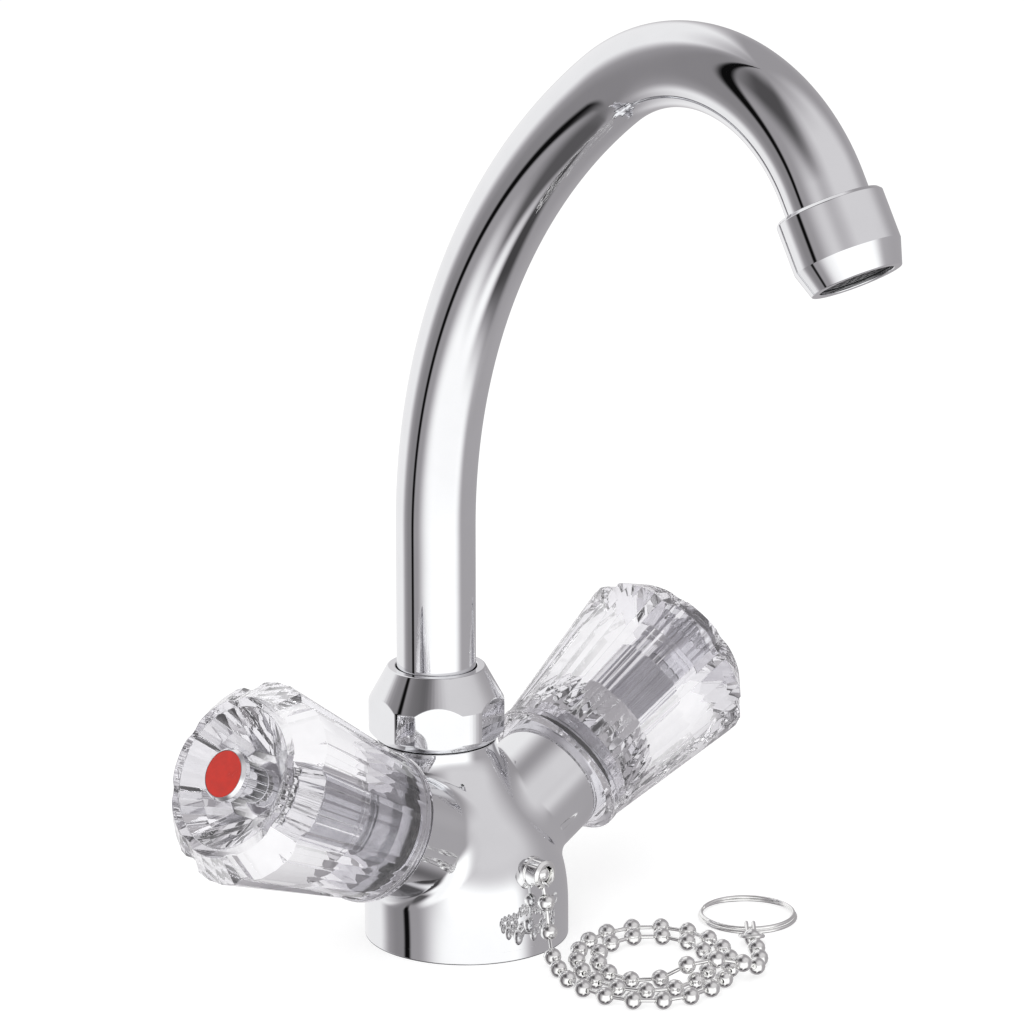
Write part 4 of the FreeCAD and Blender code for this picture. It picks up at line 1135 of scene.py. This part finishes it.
class MIXER_OT_casting(bpy.types.Operator):
    """Build the polished outside of the base, neck and arms, and keep the bores inside."""

    bl_idname = "mixer.casting"
    bl_label = "Casting"

    def execute(self, context):
        shape = context.scene.mixer_shape
        looks = finishes()
        rounding = shape.edge_radius / MM
        # The collars stand a hair proud of the skin and of the solid
        proud = 0.01
        foot = self.collar(BASE_BORE, BASE_RADIUS + proud, proud, SKIRT_HEIGHT)
        top = self.collar(COLLAR_BORE, NECK_RADIUS + proud, NECK_HEIGHT - 2.5, NECK_HEIGHT + proud)
        rim = self.collar(COLLAR_BORE, ARM_RADIUS + proud, ARM_LENGTH - 3.5, ARM_LENGTH + proud)
        neck_place = np.eye(4, 3)
        neck_place[3, 1] = SETBACK
        surfaces = [
            self.skin(shape.crease_radius / MM, shape.crease_top_radius / MM),
            turned(foot, rounding, np.eye(4, 3), circle(256)),
            turned(top, rounding, neck_place, circle(192)),
        ]
        surfaces += [turned(rim, rounding, arm_place(side), circle(192)) for side in (-1, 1)]
        skin = new_piece("tap_casting", surfaces, looks["chrome"])
        stands_for(skin, "tap_base", "chrome", "tap_body")
        stands_for(self.bores(looks["steel"]), "tap_base", "chrome", "tap_body")
        return {"FINISHED"}

    def collar(self, bore, radius, low, high):
        """Outline of a square collar at an end of the casting."""
        return [(bore, low), (radius, low), (radius, high), (bore, high)]

    def skin(self, wide, narrow):
        """The blended outside between the foot, the neck's top and the arms' rims."""

        def depth(points):
            return casting_depth(points, wide, narrow)

        low, high, step = np.array([-42.0, -28.0, 1.0]), np.array([42.0, 28.0, 52.0]), 0.55
        points, normals, quads = skin_of(depth, low, high, step)
        middle = points[quads].mean(1)
        # It ends under the collars, a little short of their outer edges
        foot_end, neck_end, arm_end = 1.6, NECK_HEIGHT - 0.6, ARM_LENGTH - 0.8
        keep = (middle[:, 2] > foot_end) & (middle[:, 2] < neck_end)
        for side in (-1, 1):
            keep &= in_arm(middle, side)[0] < arm_end
        return points, normals, quads[keep]

    def bores(self, look):
        """The solid model's own inner faces: underside, bores and threads, without the outer skin."""
        source = frame["nodes"]["tap_body"].data
        points = np.empty(len(source.vertices) * 3, np.float32)
        source.vertices.foreach_get("co", points)
        points = points.reshape(-1, 3) / MM
        corners = np.empty(len(source.loops), np.int32)
        source.loops.foreach_get("vertex_index", corners)
        triangles = corners.reshape(-1, 3)
        middle = points[triangles].mean(1)
        x, y, z = middle.T
        near_body, near_arm, hair, front = 0.12, 0.08, 0.01, -13
        skin = (np.abs(body_depth(middle)) < near_body) & (z > hair) & (z < NECK_HEIGHT - hair)
        for side in (-1, 1):
            out, reach = in_arm(middle, side)
            skin |= (np.abs(reach - ARM_RADIUS) < near_arm) & (out > 0)
        skin |= (np.hypot(x, z - CUP_HEIGHT) < CUP_SEAT) & (y < front)
        used, faces = np.unique(triangles[~skin], return_inverse=True)
        rounded = np.round(points[used], 4)
        _, keep, place = np.unique(rounded, axis=0, return_index=True, return_inverse=True)
        faces = place.reshape(-1)[faces.reshape(-1, 3)]
        whole = (faces != np.roll(faces, 1, 1)).all(1)
        mesh = bpy.data.meshes.new("tap_bores")
        mesh.from_pydata((points[used][keep] * MM).tolist(), [], faces[whole].tolist())
        mesh.shade_smooth()
        mesh.set_sharp_from_angle(angle=math.radians(30))
        return placed_object("tap_bores", mesh, look)


# Knobs
class MIXER_OT_knobs(bpy.types.Operator):
    """Build both clear faceted knobs with their silver caps and coloured discs."""

    bl_idname = "mixer.knobs"
    bl_label = "Knobs"

    def execute(self, context):
        shape = context.scene.mixer_shape
        looks = finishes()
        clear = "clear_acrylic"
        points, faces = self.crystal(shape.knob_flute / MM)
        for name, side, enamel in SIDES:
            place = arm_place(side)
            body = f"{name}_handle"
            facets = points @ place[:3] + place[3]
            knob = faceted_piece(f"{name}_crystal", facets, faces, 0.8 * shape.edge_radius, looks[clear])
            hide_from(knob, "shadow")
            stands_for(knob, body, clear, f"{name}_knob")
            crown = turned(CAP_OUTLINE, shape.edge_radius / MM, place, circle(64))
            cap = new_piece(f"{name}_cap", [crown], looks["chrome"])
            disc = turned(DISC_OUTLINE, 0.12, place, circle(64))
            mark = new_piece(f"{name}_mark", [disc], looks[enamel])
            stands_for(cap, body, "chrome", f"{name}_index_cap")
            stands_for(mark, body, enamel, f"{name}_index_disc")
        return {"FINISHED"}

    def crystal(self, flute):
        """Closed rings (r(a) cos a, r(a) sin a, z) up the outside, over the dish and down the hollow.

        Nine columns make each lobe. Outside, r(a) drops into a groove between lobes and every other
        column stands out a little, so that long narrow facets run up the side. The dish is eight-sided:
        r(a) = R cos(half a lobe) / cos(angle from the lobe's middle).
        """
        lobe = 2 * math.pi / KNOB_LOBES
        column = np.arange(9 * KNOB_LOBES)
        angle = column * 2 * math.pi / len(column)
        local = (angle + lobe / 2) % lobe - lobe / 2
        drop = np.clip(1 - (lobe / 2 - np.abs(local)) / math.radians(8.5), 0, 1)
        ridge = column % 2
        eight = math.cos(lobe / 2) / np.cos(local)
        comb = flute * (column // 3 % 2)
        rows = (
            (18.9, KNOB_RIM),
            (19.3, KNOB_RIM + 0.4),
            (19.3, KNOB_RIM + 2.2),
            (18.85 + 0.1 * ridge, KNOB_RIM + 2.6),
            (25.14 - 2.3 * drop + 0.16 * ridge, KNOB_WIDE),
            (20.0 - 0.9 * drop, KNOB_FACE),
            (17.5, KNOB_FACE),
            (14.0 * eight, 84.4),
            (8.7 * eight, 80.0),
            (4.45, 80.0),
            (4.45 + comb / 2, 73.0),
            (6.5 + comb, 73.0),
            (6.5 + comb, 57.0),
            (9.5 + comb, 57.0),
            (16.8, 42.1),
            (16.8, KNOB_RIM),
        )
        points = np.stack([spun(r, z, angle) for r, z in rows])
        return points, grid_faces(*points.shape[:2], wrap_rows=True).tolist()


class MIXER_OT_fittings(bpy.types.Operator):
    """Give the pieces that keep their own shape the finishes of their materials."""

    bl_idname = "mixer.fittings"
    bl_label = "Fittings"

    def execute(self, context):
        looks = finishes()
        plated = ("bonnet", "spindle", "circlip", "bush")
        for part in frame["record"]["subparts"]:
            node = frame["nodes"][part["node"]]
            look = "steel" if part["node"].endswith(plated) else part["material_slot"]
            if part["node"] == "aerator_insert":
                look = "dark_plastic"
            node.data.materials.clear()
            node.data.materials.append(looks[look])
        return {"FINISHED"}


class MIXER_PT_tap(bpy.types.Panel):
    """Sidebar panel with the sizes, finishes and steps of the tap."""

    bl_idname = "MIXER_PT_tap"
    bl_label = "Basin mixer tap"
    bl_space_type = "VIEW_3D"
    bl_region_type = "UI"
    bl_category = "Mixer tap"

    def draw(self, context):
        layout = self.layout
        for group, _ in GROUPS:
            settings = getattr(context.scene, group)
            for name in settings.bl_rna.properties.keys():
                if name not in ("rna_type", "name"):
                    layout.prop(settings, name)
        for step in STEPS:
            layout.operator(step.bl_idname)


STEPS = (
    MIXER_OT_stage,
    MIXER_OT_chain,
    MIXER_OT_cup,
    MIXER_OT_casting,
    MIXER_OT_nut,
    MIXER_OT_spout,
    MIXER_OT_aerator,
    MIXER_OT_knobs,
    MIXER_OT_fittings,
)
GROUPS = (("mixer_shape", TapShape), ("mixer_finish", TapFinish), ("mixer_studio", TapStudio))


def register():
    for name, group in GROUPS:
        bpy.utils.register_class(group)
        setattr(bpy.types.Scene, name, bpy.props.PointerProperty(type=group))
    for step in STEPS:
        bpy.utils.register_class(step)
    bpy.utils.register_class(MIXER_PT_tap)


def unregister():
    bpy.utils.unregister_class(MIXER_PT_tap)
    for step in reversed(STEPS):
        bpy.utils.unregister_class(step)
    for name, group in reversed(GROUPS):
        delattr(bpy.types.Scene, name)
        bpy.utils.unregister_class(group)


def main():
    """Build the stage and every piece in order."""
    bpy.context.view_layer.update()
    register()
    for step in ("stage", "chain", "cup", "casting", "nut", "spout", "aerator", "knobs", "fittings"):
        getattr(bpy.ops.mixer, step)()


if __name__ == "__main__":
    main()
